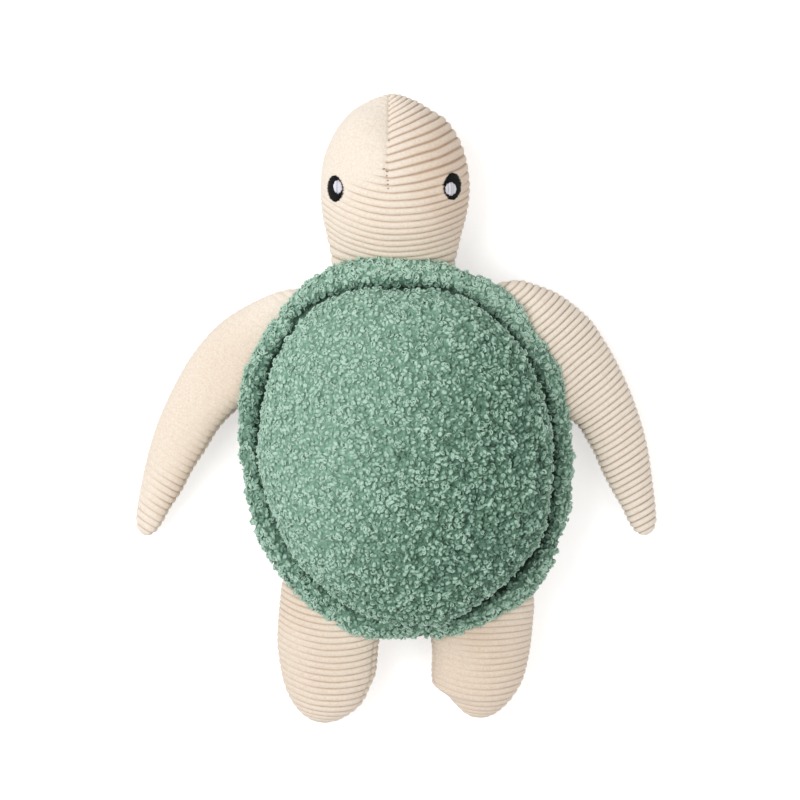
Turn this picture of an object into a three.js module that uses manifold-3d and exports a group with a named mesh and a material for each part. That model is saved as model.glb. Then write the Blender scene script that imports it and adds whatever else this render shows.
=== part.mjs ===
// A stuffed turtle dog toy that lies on its belly.
// Millimetres, +Z up. The head points along +Y.
// The origin is the centre of the flat patch that the belly rests on.
import * as THREE from 'three';
import { mergeVertices } from 'three/addons/utils/BufferGeometryUtils.js';
import Module from 'manifold-3d';

const wasm = await Module();
wasm.setup();

// Cloth, gaps and the floor

const gap = 0.3;             // between touching pieces
const creaseGap = 0.5;       // between the rim and the dome in the crease
const corduroy = 1.5;        // cream cloth of the head, the limbs and the belly
const boucle = 3;            // green cloth of the shell, with its pile
const flatDepth = 0.5;       // what the floor takes off a rounded form
const outlineExponent = 2.2; // 2 is an ellipse, more is squarer

// Shell and belly, seen from above they share one centre

const seamHeight = 22;       // the seam that holds the head and the limbs
const shellHalfWidth = 82.5;
const shellHalfLength = 95;
const rimWidth = 15;
const rimHeight = 14;
const rimRise = 10;          // middle of the rim above the seam
const domeOverhang = 8;      // how far the dome bulges out over the crease
const domeBulge = 9.5;       // height of that bulge
const domeHeight = 80;
const crownPower = 0.9;      // 1 is an ellipse, less is squarer
const bellyInset = 9.2;        // outline of the belly inside the rim's outer edge
const bellyRise = 2.5;       // top edge of the belly cloth above the seam
const bellySquareness = 2.6;

// Roots of the head and the limbs

const rootHalfThickness = 1.5; // two layers of cloth, pressed flat
const rootGap = 0.15;          // from the root's round end to the belly's widest outline
const tuckBelow = 2;           // length that stays flat on the underside
const thinnestStuffing = 1;    // half thickness where the stuffing starts
const stuffingEnd = 0.3;       // share of the way from its last ring to the tip

// Squeaker

const squeakerRadius = 22;
const squeakerWall = 1.2;
const squeakerDisc = 2.5;
const bellowsHeight = 24;    // the pleated part
const pleats = 3;
const pleatDepth = 3.5;
const reedRadius = 3.6;
const reedBore = 1.6;
const reedLength = 13;
const reedFlange = 5.6;
const reedFlangeHeight = 1.4;
const pocketGap = 0.5;

// Eyes, stitched discs with a pale middle

const eyeRadius = 6.7;
const eyeMiddleRadius = 3.5;
const eyeThread = 1;
const eyeForward = 42;       // from the neck seam, along the head
const eyeLeft = -34;         // across the head, from the middle of the body
const eyeRight = 23.5;

// Patterns of the stuffed pieces, each in the frame of its own root seam.
// A station pairs a point on the outer edge with one on the inner edge.
// In each point the first number runs along the seam and the second away from it.
// The upper side stays flat for the tuck, under the rim, and swells over the swell.

const flipperPattern = {
  stations: [
    [[38, 0], [-20, 0]],
    [[34, 9.5], [-21, 4]],
    [[20, 24], [-24, 7]],
    [[0, 33.5], [-31, 8.5]],
    [[-30, 38], [-46, 10]],
    [[-60, 37], [-65, 12.5]],
    [[-88, 31], [-86, 16.5]],
    [[-101, 27], [-100, 18.5]],
  ],
  tip: [-106, 22],
  above: 14,
  below: 14,
  fullness: 0.92,
  tuck: 5,
  swell: 20,
};

const footPattern = {
  stations: [
    [[33, 0], [-23, 0]],
    [[29, 9], [-25, 6.5]],
    [[20, 28], [-31.5, 24]],
    [[9, 45], [-31, 39]],
    [[-4, 54.5], [-25, 51]],
  ],
  tip: [-14.5, 57],
  above: 17,
  below: 16,
  fullness: 0.8,
  tuck: 5,
  swell: 20,
};

const headPattern = {
  stations: [
    [[23, 0], [-33, 0]],
    [[25, 8], [-36, 8]],
    [[28.5, 22], [-39.5, 22]],
    [[31.5, 40], [-41.5, 40]],
    [[29.5, 61], [-39, 61]],
    [[20.5, 78], [-30.5, 78]],
    [[8, 87], [-18, 87]],
  ],
  tip: [-5, 90.5],
  above: 35,
  below: 24,
  fullness: 1,
  tuck: 7,
  swell: 17,
};

// Where each piece is sewn on, as an angle round the belly's outline.
// A mirrored piece has its outer edge on the other hand.

const limbs = [
  { name: 'left_flipper', pattern: flipperPattern, angle: 150, slide: 0, mirrored: false },
  { name: 'right_flipper', pattern: flipperPattern, angle: 25, slide: 4, mirrored: true },
  { name: 'left_foot', pattern: footPattern, angle: 246, slide: 0, mirrored: false },
  { name: 'right_foot', pattern: footPattern, angle: 294, slide: 0, mirrored: true },
];
const head = { name: 'head', pattern: headPattern, angle: 90, slide: 0, mirrored: false };

// Smoothness of the forms

const outlineSteps = 36;
const rimSectionSteps = 10;
const ringsPerStation = 1.5;
const limbSectionSteps = 12;
const headSectionSteps = 16;
const roundSteps = 24;

const cream = new THREE.Color(0.86, 0.76, 0.65);
const green = new THREE.Color(0.22, 0.36, 0.27);
const wadding = new THREE.Color(0.9, 0.9, 0.88);
const black = new THREE.Color(0.012, 0.012, 0.013);
const paleThread = new THREE.Color(0.75, 0.74, 0.78);
const squeakerPlastic = new THREE.Color(0.82, 0.82, 0.78);

// Closed meshes and solids

function closedGeometry(points, triangles) {
  const geometry = new THREE.BufferGeometry();
  const numbers = points.flatMap((p) => [p.x, p.y, p.z]);
  geometry.setAttribute('position', new THREE.Float32BufferAttribute(numbers, 3));
  geometry.setIndex(triangles.flat());
  return geometry;
}

function signedVolume(corners, triangles) {
  const [a, b, c] = [new THREE.Vector3(), new THREE.Vector3(), new THREE.Vector3()];
  let volume = 0;
  for (let i = 0; i < triangles.length; i += 3) {
    a.fromArray(corners, 3 * triangles[i]);
    b.fromArray(corners, 3 * triangles[i + 1]);
    c.fromArray(corners, 3 * triangles[i + 2]);
    volume += a.dot(b.cross(c)) / 6;
  }
  return volume;
}

// A solid from a closed geometry, which a mirror image may have turned inside out
function solidOf(source) {
  const bare = source.clone();
  bare.deleteAttribute('normal');
  bare.deleteAttribute('uv');
  const merged = mergeVertices(bare, 1e-4);
  const vertProperties = new Float32Array(merged.attributes.position.array);
  const triVerts = new Uint32Array(merged.index.array);
  if (signedVolume(vertProperties, triVerts) < 0) triVerts.reverse();
  return new wasm.Manifold(new wasm.Mesh({ numProp: 3, vertProperties, triVerts }));
}

function geometryOf(solid) {
  const mesh = solid.getMesh();
  const geometry = new THREE.BufferGeometry();
  geometry.setAttribute('position', new THREE.Float32BufferAttribute(mesh.vertProperties, 3));
  geometry.setIndex([...mesh.triVerts]);
  geometry.computeVertexNormals();
  return geometry;
}

// Rings of points, joined in order and closed by a point at each end
function ringForm(rings, firstPoint, lastPoint) {
  const count = rings[0].length;
  const points = [...rings.flat(), firstPoint, lastPoint];
  const first = points.length - 2;
  const last = points.length - 1;
  const triangles = [];
  for (let j = 0; j < count; j++) {
    const next = (j + 1) % count;
    triangles.push([first, next, j]);
    for (let i = 0; i + 1 < rings.length; i++) {
      const here = i * count;
      const ahead = here + count;
      triangles.push([here + j, here + next, ahead + next]);
      triangles.push([here + j, ahead + next, ahead + j]);
    }
    const end = (rings.length - 1) * count;
    triangles.push([last, end + j, end + next]);
  }
  return closedGeometry(points, triangles);
}

// Outlines of the body

function signedPower(value, power) {
  return Math.sign(value) * Math.abs(value) ** power;
}

function outlinePoint(halfWidth, halfLength, angle) {
  const power = 2 / outlineExponent;
  return new THREE.Vector2(
    halfWidth * signedPower(Math.cos(angle), power),
    halfLength * signedPower(Math.sin(angle), power),
  );
}

function outlineNormal(halfWidth, halfLength, point) {
  const power = outlineExponent - 1;
  return new THREE.Vector2(
    signedPower(point.x / halfWidth, power) / halfWidth,
    signedPower(point.y / halfLength, power) / halfLength,
  ).normalize();
}

// A level ring of points, its outline drawn in by an amount
function levelRing(halfWidth, halfLength, inset, z) {
  const ring = [];
  for (let i = 0; i < outlineSteps; i++) {
    const p = outlinePoint(halfWidth - inset, halfLength - inset, 2 * Math.PI * i / outlineSteps);
    ring.push(new THREE.Vector3(p.x, p.y, z));
  }
  return ring;
}

// Forms of the body, each drawn in by an amount

const rimTop = seamHeight + rimRise + rimHeight / 2;
const creaseInset = rimWidth + creaseGap;
const domeEdge = seamHeight + rimRise - rimHeight / 2;
const bellyTop = seamHeight + bellyRise;
const bellyHalfWidth = shellHalfWidth - bellyInset;
const bellyHalfLength = shellHalfLength - bellyInset;

function rimForm(inset) {
  const middleWidth = shellHalfWidth - rimWidth / 2;
  const middleLength = shellHalfLength - rimWidth / 2;
  const points = [];
  const triangles = [];
  for (let i = 0; i < outlineSteps; i++) {
    const p = outlinePoint(middleWidth, middleLength, 2 * Math.PI * i / outlineSteps);
    const n = outlineNormal(middleWidth, middleLength, p);
    for (let j = 0; j < rimSectionSteps; j++) {
      const turn = 2 * Math.PI * j / rimSectionSteps;
      const out = (rimWidth / 2 - inset) * Math.cos(turn);
      const up = (rimHeight / 2 - inset) * Math.sin(turn);
      points.push(new THREE.Vector3(p.x + n.x * out, p.y + n.y * out, seamHeight + rimRise + up));
      const nextI = ((i + 1) % outlineSteps) * rimSectionSteps;
      const nextJ = (j + 1) % rimSectionSteps;
      triangles.push([i * rimSectionSteps + j, nextI + j, nextI + nextJ]);
      triangles.push([i * rimSectionSteps + j, nextI + nextJ, i * rimSectionSteps + nextJ]);
    }
  }
  return solidOf(closedGeometry(points, triangles));
}

// The dome rises from the crease, bulges out over it and closes at the top
function domeForm(inset, bottom) {
  const bulgeBottom = rimTop - creaseGap;
  const widest = bulgeBottom + domeBulge;
  const overhangSteps = 3;
  const crownSteps = 6;
  const ring = (offset, z) => levelRing(shellHalfWidth, shellHalfLength, offset + inset, z);
  const rings = [ring(creaseInset, bottom)];
  for (let i = 0; i <= overhangSteps; i++) {
    const turn = Math.PI / 2 * i / overhangSteps;
    const out = domeOverhang * Math.sin(turn);
    rings.push(ring(creaseInset - out, widest + inset - domeBulge * Math.cos(turn)));
  }
  const wide = shellHalfWidth - creaseInset + domeOverhang - inset;
  const long = shellHalfLength - creaseInset + domeOverhang - inset;
  const rise = domeHeight - inset - widest;
  for (let i = 1; i < crownSteps; i++) {
    const turn = Math.PI / 2 * i / crownSteps;
    const share = Math.cos(turn) ** crownPower;
    const z = widest + rise * Math.sin(turn);
    rings.push(levelRing(wide * share, long * share, 0, z));
  }
  return solidOf(ringForm(rings, new THREE.Vector3(0, 0, bottom), new THREE.Vector3(0, 0, widest + rise)));
}

function bellyHeight(share) {
  const depth = bellyTop + flatDepth;
  return bellyTop - depth * (1 - share ** bellySquareness) ** (1 / bellySquareness);
}

function bellyForm(inset, top) {
  const bowlSteps = 6;
  const wide = bellyHalfWidth - inset;
  const long = bellyHalfLength - inset;
  const rings = [];
  for (let i = 1; i <= bowlSteps; i++) {
    const share = Math.sin(Math.PI / 2 * i / bowlSteps) ** (2 / bellySquareness);
    rings.push(levelRing(wide * share, long * share, 0, bellyHeight(share) + inset));
  }
  rings.push(levelRing(wide, long, 0, top));
  return solidOf(ringForm(rings, new THREE.Vector3(0, 0, inset - flatDepth), new THREE.Vector3(0, 0, top)));
}

function block(width, depth, height, x, y, z) {
  const box = new THREE.BoxGeometry(width, depth, height);
  box.translate(x, y, z);
  return box;
}

// Everything below the floor
const world = 1000;
const underFloor = solidOf(block(world, world, world, 0, 0, -world / 2));

// A stuffed piece, in the frame of its root seam: X along the seam, Y away from the body

function smooth(value) {
  const t = Math.min(1, Math.max(0, value));
  return t * t * (3 - 2 * t);
}

// Both edges of the pattern run on to the tip
function edgeCurve(pattern, side) {
  const points = [...pattern.stations.map((station) => station[side]), pattern.tip];
  return new THREE.CatmullRomCurve3(points.map(([x, y]) => new THREE.Vector3(x, y, 0)));
}

// A cross-section: its middle, half its width and its two half thicknesses
function sectionAt(pattern, edges, share) {
  const outer = edges[0].getPoint(share);
  const inner = edges[1].getPoint(share);
  const middle = outer.clone().add(inner).multiplyScalar(0.5);
  const half = outer.clone().sub(inner).multiplyScalar(0.5);
  const roundest = half.length() * pattern.fullness;
  const grow = (full, tuck) => {
    const stuffed = smooth((middle.y - tuck) / pattern.swell);
    return Math.min(rootHalfThickness + stuffed * (full - rootHalfThickness), roundest);
  };
  return { middle, half, above: grow(pattern.above, pattern.tuck), below: grow(pattern.below, tuckBelow) };
}

function sectionRing(section, inset, steps) {
  const width = section.half.length();
  const across = section.half.clone().multiplyScalar((width - inset) / width);
  const ring = [];
  for (let j = 0; j < steps; j++) {
    const turn = 2 * Math.PI * j / steps;
    const thickness = (Math.sin(turn) > 0 ? section.above : section.below) - inset;
    const point = section.middle.clone().addScaledVector(across, Math.cos(turn));
    point.z = thickness * Math.sin(turn);
    ring.push(point);
  }
  return ring;
}

// The root is pressed flat, and its end is round about the hinge line
function rootRings(pattern, edges, outset, steps) {
  const root = sectionAt(pattern, edges, 0);
  const radius = rootHalfThickness + outset;
  return [Math.PI / 12, Math.PI / 4].map((turn) => {
    const middle = root.middle.clone();
    middle.y -= radius * Math.cos(turn);
    const thickness = radius * Math.sin(turn);
    return sectionRing({ middle, half: root.half, above: thickness, below: thickness }, 0, steps);
  });
}

// The whole form grown by outset, or the room inside its cloth where outset is less than 0
function stuffedForm(pattern, outset, steps) {
  const edges = [edgeCurve(pattern, 0), edgeCurve(pattern, 1)];
  const hollow = outset < 0;
  const rings = hollow ? [] : rootRings(pattern, edges, outset, steps);
  for (const share of ringShares(pattern)) {
    const section = sectionAt(pattern, edges, share);
    const thinnest = Math.min(section.half.length(), section.above, section.below);
    if (hollow && thinnest + outset < thinnestStuffing) continue;
    rings.push(sectionRing(section, -outset, steps));
  }
  const [first, last] = [rings[0], rings.at(-1)].map(centreOf);
  if (!hollow) first.y = -rootHalfThickness - outset;
  const tip = new THREE.Vector3(pattern.tip[0], pattern.tip[1], 0);
  const reach = tip.sub(last);
  const end = last.clone().addScaledVector(reach, hollow ? stuffingEnd : 1 + outset / reach.length());
  return ringForm(rings, first, end);
}

function centreOf(ring) {
  return ring.reduce((sum, p) => sum.add(p), new THREE.Vector3()).divideScalar(ring.length);
}

// Even steps from the root, then closer ones where the tip rounds off
function ringShares(pattern) {
  const last = pattern.stations.length;
  const count = Math.round(last * ringsPerStation);
  const stepsShortOfTip = [0.4, 0.12];
  const shares = [];
  for (let i = 0; i < count; i++) shares.push(i / count);
  return [...shares, ...stepsShortOfTip.map((short) => 1 - short / count)];
}

// How far the piece sags about its root seam until it rests on the floor
function sagAngle(pattern) {
  const form = stuffedForm(pattern, 0, headSectionSteps);
  const corners = form.attributes.position;
  const lowest = (angle) => {
    let z = Infinity;
    for (let i = 0; i < corners.count; i++) {
      z = Math.min(z, corners.getZ(i) * Math.cos(angle) + corners.getY(i) * Math.sin(angle));
    }
    return z;
  };
  const steepest = Math.PI / 6;
  let low = -steepest;
  let high = steepest;
  for (let i = 0; i < 40; i++) {
    const middle = (low + high) / 2;
    if (lowest(middle) < -seamHeight - flatDepth) low = middle;
    else high = middle;
  }
  return (low + high) / 2;
}

// Cloth in two layers that meet at the seam round the edge, and the stuffing between them
function stuffedPieces(limb, steps) {
  const { pattern } = limb;
  const place = new THREE.Matrix4().makeRotationX(sagAngle(pattern));
  if (limb.mirrored) place.multiply(new THREE.Matrix4().makeScale(-1, 1, 1));
  const placed = (geometry) => solidOf(geometry.applyMatrix4(place));
  const underFloorHere = solidOf(block(world, world, world, 0, 0, -seamHeight - world / 2));
  const cloth = placed(stuffedForm(pattern, 0, steps))
    .subtract(placed(stuffedForm(pattern, -corduroy, steps)))
    .subtract(underFloorHere);
  return {
    upper: cloth.intersect(placed(block(world, world, world, 0, 0, (world + gap) / 2))),
    lower: cloth.intersect(placed(block(world, world, world, 0, 0, -(world + gap) / 2))),
    filling: placed(stuffedForm(pattern, -corduroy - gap, steps)),
  };
}

// Eyes, cut from a skin that lies on the head

function eyePieces(across, limb, steps) {
  const { pattern } = limb;
  const edges = [edgeCurve(pattern, 0), edgeCurve(pattern, 1)];
  const surface = (x, y) => {
    let low = 0;
    let high = 1;
    for (let i = 0; i < 30; i++) {
      const middle = (low + high) / 2;
      if (sectionAt(pattern, edges, middle).middle.y < y) low = middle;
      else high = middle;
    }
    const section = sectionAt(pattern, edges, low);
    const offset = (x - section.middle.x) / section.half.length();
    return new THREE.Vector3(x, y, section.above * Math.sqrt(1 - offset * offset));
  };
  const step = 0.5;
  const centre = surface(across, eyeForward);
  const alongX = surface(across + step, eyeForward).sub(surface(across - step, eyeForward));
  const alongY = surface(across, eyeForward + step).sub(surface(across, eyeForward - step));
  const normal = alongX.cross(alongY).normalize();
  const place = new THREE.Matrix4().makeRotationX(sagAngle(pattern));
  const toward = new THREE.Quaternion().setFromUnitVectors(new THREE.Vector3(0, 1, 0), normal);
  const punch = (radius) => {
    const cutter = new THREE.CylinderGeometry(radius, radius, 2 * eyeRadius, roundSteps);
    cutter.applyQuaternion(toward).translate(centre.x, centre.y, centre.z);
    return solidOf(cutter.applyMatrix4(place));
  };
  const skin = solidOf(stuffedForm(pattern, gap + eyeThread, steps).applyMatrix4(place))
    .subtract(solidOf(stuffedForm(pattern, gap, steps).applyMatrix4(place)));
  return {
    ring: skin.intersect(punch(eyeRadius)).subtract(punch(eyeMiddleRadius + gap)),
    middle: skin.intersect(punch(eyeMiddleRadius)),
  };
}

// Squeaker, a pleated bulb between two discs with a reed in the lower one

function lathed(profile) {
  const points = profile.map(([r, z]) => new THREE.Vector2(r, z));
  return new THREE.LatheGeometry([...points, points[0]], roundSteps).rotateX(Math.PI / 2);
}

const squeakerBottom = bellyHeight(squeakerRadius / (bellyHalfWidth - corduroy)) + corduroy + 2 * gap;
const bellowsBottom = squeakerBottom + squeakerDisc + gap;
const bellowsTop = bellowsBottom + bellowsHeight;
const squeakerTop = bellowsTop + gap + squeakerDisc;

function bellowsGeometry() {
  const pleatStep = bellowsHeight / (2 * pleats);
  const outside = [];
  for (let i = 0; i <= 2 * pleats; i++) {
    const drawnIn = i % 2 ? pleatDepth : 0;
    outside.push([squeakerRadius - drawnIn, bellowsBottom + i * pleatStep]);
  }
  const inside = outside.map(([r, z]) => [r - squeakerWall * Math.SQRT2, z]);
  return lathed([...outside, ...inside.reverse()]);
}

function discGeometry(hole, bottom) {
  const top = bottom + squeakerDisc;
  return lathed([[hole, bottom], [squeakerRadius, bottom], [squeakerRadius, top], [hole, top]]);
}

function reedGeometry() {
  const flangeBottom = squeakerBottom + squeakerDisc + gap;
  const flangeTop = flangeBottom + reedFlangeHeight;
  const top = squeakerBottom + reedLength;
  return lathed([
    [reedBore, squeakerBottom], [reedRadius, squeakerBottom], [reedRadius, flangeBottom],
    [reedFlange, flangeBottom], [reedFlange, flangeTop], [reedRadius, flangeTop],
    [reedRadius, top], [reedBore, top],
  ]);
}

// The toy

const toy = new THREE.Group();

function addMesh(group, name, geometry, color, roughness) {
  const material = new THREE.MeshStandardMaterial({ color, roughness, metalness: 0 });
  const mesh = new THREE.Mesh(geometry, material);
  mesh.name = name;
  group.add(mesh);
}

const rim = rimForm(0);
const aroundRim = rimForm(-gap);
const dome = domeForm(0, domeEdge).subtract(domeForm(boucle, domeEdge - 1)).subtract(aroundRim);
const belly = bellyForm(0, bellyTop)
  .subtract(bellyForm(corduroy, bellyTop + 1))
  .subtract(aroundRim)
  .subtract(underFloor);
const pocket = new THREE.CylinderGeometry(
  squeakerRadius + pocketGap, squeakerRadius + pocketGap, 2 * (squeakerTop + pocketGap), roundSteps,
).rotateX(Math.PI / 2);
const bodyFilling = domeForm(boucle + gap, bellyTop - 2 * corduroy)
  .add(bellyForm(corduroy + gap, bellyTop - gap))
  .subtract(aroundRim)
  .subtract(solidOf(pocket));

addMesh(toy, 'shell_dome', geometryOf(dome), green, 1);
addMesh(toy, 'shell_rim', geometryOf(rim), green, 1);
addMesh(toy, 'belly_panel', geometryOf(belly), cream, 0.95);
addMesh(toy, 'body_filling', geometryOf(bodyFilling), wadding, 1);
addMesh(toy, 'squeaker_base', discGeometry(reedRadius + gap, squeakerBottom), squeakerPlastic, 0.45);
addMesh(toy, 'squeaker_reed', reedGeometry(), black, 0.4);
addMesh(toy, 'squeaker_bellows', bellowsGeometry(), squeakerPlastic, 0.45);
addMesh(toy, 'squeaker_top', discGeometry(reedBore, bellowsTop + gap), squeakerPlastic, 0.45);

// A group at the middle of a limb's root seam, its X along the seam and its Y outward
function seamGroup(limb) {
  const angle = THREE.MathUtils.degToRad(limb.angle);
  const p = outlinePoint(bellyHalfWidth, bellyHalfLength, angle);
  const n = outlineNormal(bellyHalfWidth, bellyHalfLength, p);
  const along = new THREE.Vector2(n.y, -n.x);
  const slide = limb.mirrored ? -limb.slide : limb.slide;
  p.addScaledVector(n, rootHalfThickness + rootGap).addScaledVector(along, slide);
  const group = new THREE.Group();
  group.position.set(p.x, p.y, seamHeight);
  group.rotation.z = Math.atan2(along.y, along.x);
  toy.add(group);
  return group;
}

for (const limb of limbs) {
  const group = seamGroup(limb);
  const pieces = stuffedPieces(limb, limbSectionSteps);
  addMesh(group, `${limb.name}_upper`, geometryOf(pieces.upper), cream, 0.95);
  addMesh(group, `${limb.name}_lower`, geometryOf(pieces.lower), cream, 0.95);
  addMesh(group, `${limb.name}_filling`, geometryOf(pieces.filling), wadding, 1);
}

const headGroup = seamGroup(head);
const headPieces = stuffedPieces(head, headSectionSteps);
addMesh(headGroup, 'head_top_panel', geometryOf(headPieces.upper), cream, 0.95);
addMesh(headGroup, 'head_chin_panel', geometryOf(headPieces.lower), cream, 0.95);
addMesh(headGroup, 'head_filling', geometryOf(headPieces.filling), wadding, 1);
for (const [side, across] of [['left', eyeLeft], ['right', eyeRight]]) {
  const eye = eyePieces(across, head, headSectionSteps);
  addMesh(headGroup, `${side}_eye_ring`, geometryOf(eye.ring), black, 0.9);
  addMesh(headGroup, `${side}_eye_middle`, geometryOf(eye.middle), paleThread, 0.9);
}

export default toy;
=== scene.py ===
import math
import bpy
import numpy as np
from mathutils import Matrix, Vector, noise
from mathutils.bvhtree import BVHTree


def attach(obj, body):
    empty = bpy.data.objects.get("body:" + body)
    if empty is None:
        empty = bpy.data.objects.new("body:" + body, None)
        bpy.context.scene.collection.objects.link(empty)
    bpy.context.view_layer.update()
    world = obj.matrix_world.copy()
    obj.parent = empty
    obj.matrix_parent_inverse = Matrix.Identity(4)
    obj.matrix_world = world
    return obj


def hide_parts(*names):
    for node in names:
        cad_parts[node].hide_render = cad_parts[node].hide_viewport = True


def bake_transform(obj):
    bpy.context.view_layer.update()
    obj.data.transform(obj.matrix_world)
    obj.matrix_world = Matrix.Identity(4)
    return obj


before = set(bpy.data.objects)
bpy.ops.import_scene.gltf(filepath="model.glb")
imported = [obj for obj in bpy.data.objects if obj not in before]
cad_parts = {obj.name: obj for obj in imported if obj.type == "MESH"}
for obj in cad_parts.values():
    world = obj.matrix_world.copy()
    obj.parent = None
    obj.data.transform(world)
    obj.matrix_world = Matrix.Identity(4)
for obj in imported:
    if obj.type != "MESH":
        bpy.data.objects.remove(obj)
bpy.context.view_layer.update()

bpy.ops.object.select_all(action="DESELECT")
mm = 0.001                       # lengths below are millimetres
print("frame loaded")


# Camera: nearly overhead, leaning from the head's side, with a long lens

cameraView = {
    "tilt": 10.0,                # degrees from straight down
    "distance": 2000.0,
    "pixelsPerMm": 2.037,        # at the target, in an image 800 pixels wide
    "target": (-2.32, 27.0, 32.0),
}
sensorWidth = 36.0
imageWidth = 800


def addCamera(view):
    lean = math.radians(view["tilt"])
    away = Vector((0, math.sin(lean), math.cos(lean))) * view["distance"]
    bpy.ops.object.camera_add(location=(Vector(view["target"]) + away) * mm, rotation=(-lean, 0, 0))
    camera = bpy.context.object
    camera.data.sensor_width = sensorWidth
    camera.data.lens = view["pixelsPerMm"] * view["distance"] * sensorWidth / imageWidth
    camera.data.clip_end = 20
    bpy.context.scene.camera = camera


# Light: a soft key from the upper left, a weak fill, and an even surround

lights = {
    "key": {"toward": (-0.52, 0.29, 0.80), "distance": 1300, "size": 1000, "watts": 8.8,
            "colour": (0.97, 0.985, 1.0)},
    "fill": {"toward": (0.55, -0.35, 0.80), "distance": 1400, "size": 1100, "watts": 2.6,
             "colour": (1.0, 0.955, 0.90)},
    "surround": 0.60,
}


def addLight(name, light):
    spot = Vector(light["toward"]).normalized() * light["distance"] * mm
    bpy.ops.object.light_add(type="AREA", location=spot)
    lamp = bpy.context.object
    lamp.name = name
    lamp.rotation_euler = spot.to_track_quat("Z", "Y").to_euler()
    lamp.data.shape = "DISK"
    lamp.data.size = light["size"] * mm
    lamp.data.energy = light["watts"]
    lamp.data.color = light["colour"]


addCamera(cameraView)
for lightName in ("key", "fill"):
    addLight(lightName + "_light", lights[lightName])
bpy.context.scene.view_settings.view_transform = "Standard"
print("camera and light placed")


# Shader maths

class Wire:  # a node's output, on which arithmetic adds Math nodes
    def __init__(self, graph, socket):
        self.graph, self.socket = graph, socket

    def math(self, operation, *values):
        return self.graph.node("ShaderNodeMath", {"operation": operation}, dict(enumerate(values)))

    def __add__(self, other):
        return self.math("ADD", self, other)

    def __sub__(self, other):
        return self.math("SUBTRACT", self, other)

    def __rsub__(self, other):
        return self.math("SUBTRACT", other, self)

    def __mul__(self, other):
        return self.math("MULTIPLY", self, other)

    __radd__ = __add__
    __rmul__ = __mul__


class Finish:  # a material and the graph that makes it
    def __init__(self, name):
        self.material = bpy.data.materials.new(name)
        self.material.use_nodes = True
        self.tree = self.material.node_tree
        self.shader = self.tree.nodes["Principled BSDF"]

    def node(self, kind, settings=None, sockets=None, output=0):
        new = self.tree.nodes.new(kind)
        for key, value in (settings or {}).items():
            if key == "stops":
                ramp = new.color_ramp.elements
                while len(ramp) < len(value):
                    ramp.new(0.5)
                for element, (place, colour) in zip(ramp, value):
                    element.position = place
                    element.color = (*colour, 1)
            else:
                setattr(new, key, value)
        self.plug(new, sockets or {})
        return Wire(self, new.outputs[output])

    def plug(self, new, sockets):
        for key, value in sockets.items():
            if isinstance(value, Wire):
                self.tree.links.new(value.socket, new.inputs[key])
            else:
                new.inputs[key].default_value = value

    def surface(self, **values):
        self.plug(self.shader, {key.replace("_", " "): value for key, value in values.items()})

    def place(self):
        return self.node("ShaderNodeTexCoord", output="Object")

    def noise(self, size, detail=2.0, roughness=0.5):
        sockets = {"Vector": self.place(), "Scale": 1 / (size * mm), "Detail": detail}
        sockets["Roughness"] = roughness
        return self.node("ShaderNodeTexNoise", {}, sockets)

    def attribute(self, name):
        return self.node("ShaderNodeAttribute", {"attribute_name": name}, output="Fac")

    def mix(self, share, first, second):
        sockets = {0: share, 6: colour4(first), 7: colour4(second)}
        return self.node("ShaderNodeMix", {"data_type": "RGBA"}, sockets, 2)

    def remap(self, value, low, high, newLow=0.0, newHigh=1.0):
        sockets = {"Value": value, "From Min": low, "From Max": high, "To Min": newLow, "To Max": newHigh}
        return self.node("ShaderNodeMapRange", {"clamp": True}, sockets)

    def bump(self, height, strength, depth):
        sockets = {"Height": height, "Strength": strength, "Distance": depth * mm}
        return self.node("ShaderNodeBump", {}, sockets, "Normal")


def colour4(value):
    return value if isinstance(value, Wire) else (*value, 1)


def fromScreen(*levels):  # a colour as a screen shows it, 0 to 255
    return tuple(((v / 255 + 0.055) / 1.055) ** 2.4 if v > 10 else v / 255 / 12.92 for v in levels)


# Materials

corduroyFinish = {
    "ridge": (248, 238, 224),
    # groove: painted shade down in the grooves
    "groove": (186, 158, 132),
    "napShade": (220, 195, 171),
    "napSize": 0.5,
    "grainSize": 1.1,
    "napShare": 0.44,
    "grainSpan": (0.43, 0.64),   # the grain's values that turn the cloth from ridge to napShade
    "paintedShadeShare": 0.6,            # of napShade, painted on as shade in the listed patches
    "ragged": 1.1,               # how far the grain frays a groove's edge
    "grooveSpan": (0.0, 0.7),
    "fuzz": 0.16,
}


def makeCorduroy(look):
    finish = Finish("cream_corduroy")
    ridge = finish.attribute("ridge")
    nap = finish.noise(look["napSize"], 3, 0.6)
    grain = nap * 0.5 + finish.noise(look["grainSize"], 2, 0.6) * 0.5
    share = finish.remap(grain, *look["grainSpan"], 0, look["napShare"])
    # painted shade: this layer turns the cloth darker and warmer, towards napShade
    share = share + finish.attribute("warm") * look["paintedShadeShare"]
    cloth = finish.mix(share, fromScreen(*look["ridge"]), fromScreen(*look["napShade"]))
    # the ridge layer paints the groove colour into the grooves as shade
    ragged = ridge + (grain - 0.5) * look["ragged"]
    cloth = finish.mix(finish.remap(ragged, *look["grooveSpan"]), fromScreen(*look["groove"]), cloth)
    fuzz = nap * 0.7 + finish.noise(look["napSize"] * 0.45, 2) * 0.5
    finish.surface(Base_Color=cloth, Roughness=0.95, Normal=finish.bump(fuzz, 0.55, look["fuzz"]))
    finish.surface(Sheen_Weight=0.25, Sheen_Roughness=0.6, Specular_IOR_Level=0.2)
    return finish.material


boucleFinish = {
    # deep to tip: painted shade low in the pile, painted light on the tufts' tops
    "deep": (36, 76, 56),
    "middle": (128, 166, 144),
    "tip": (186, 216, 198),
    "strandSize": 0.7,
    "tintShare": 0.22,
    "strandShare": 0.48,
    "fuzz": 0.2,
}


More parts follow.
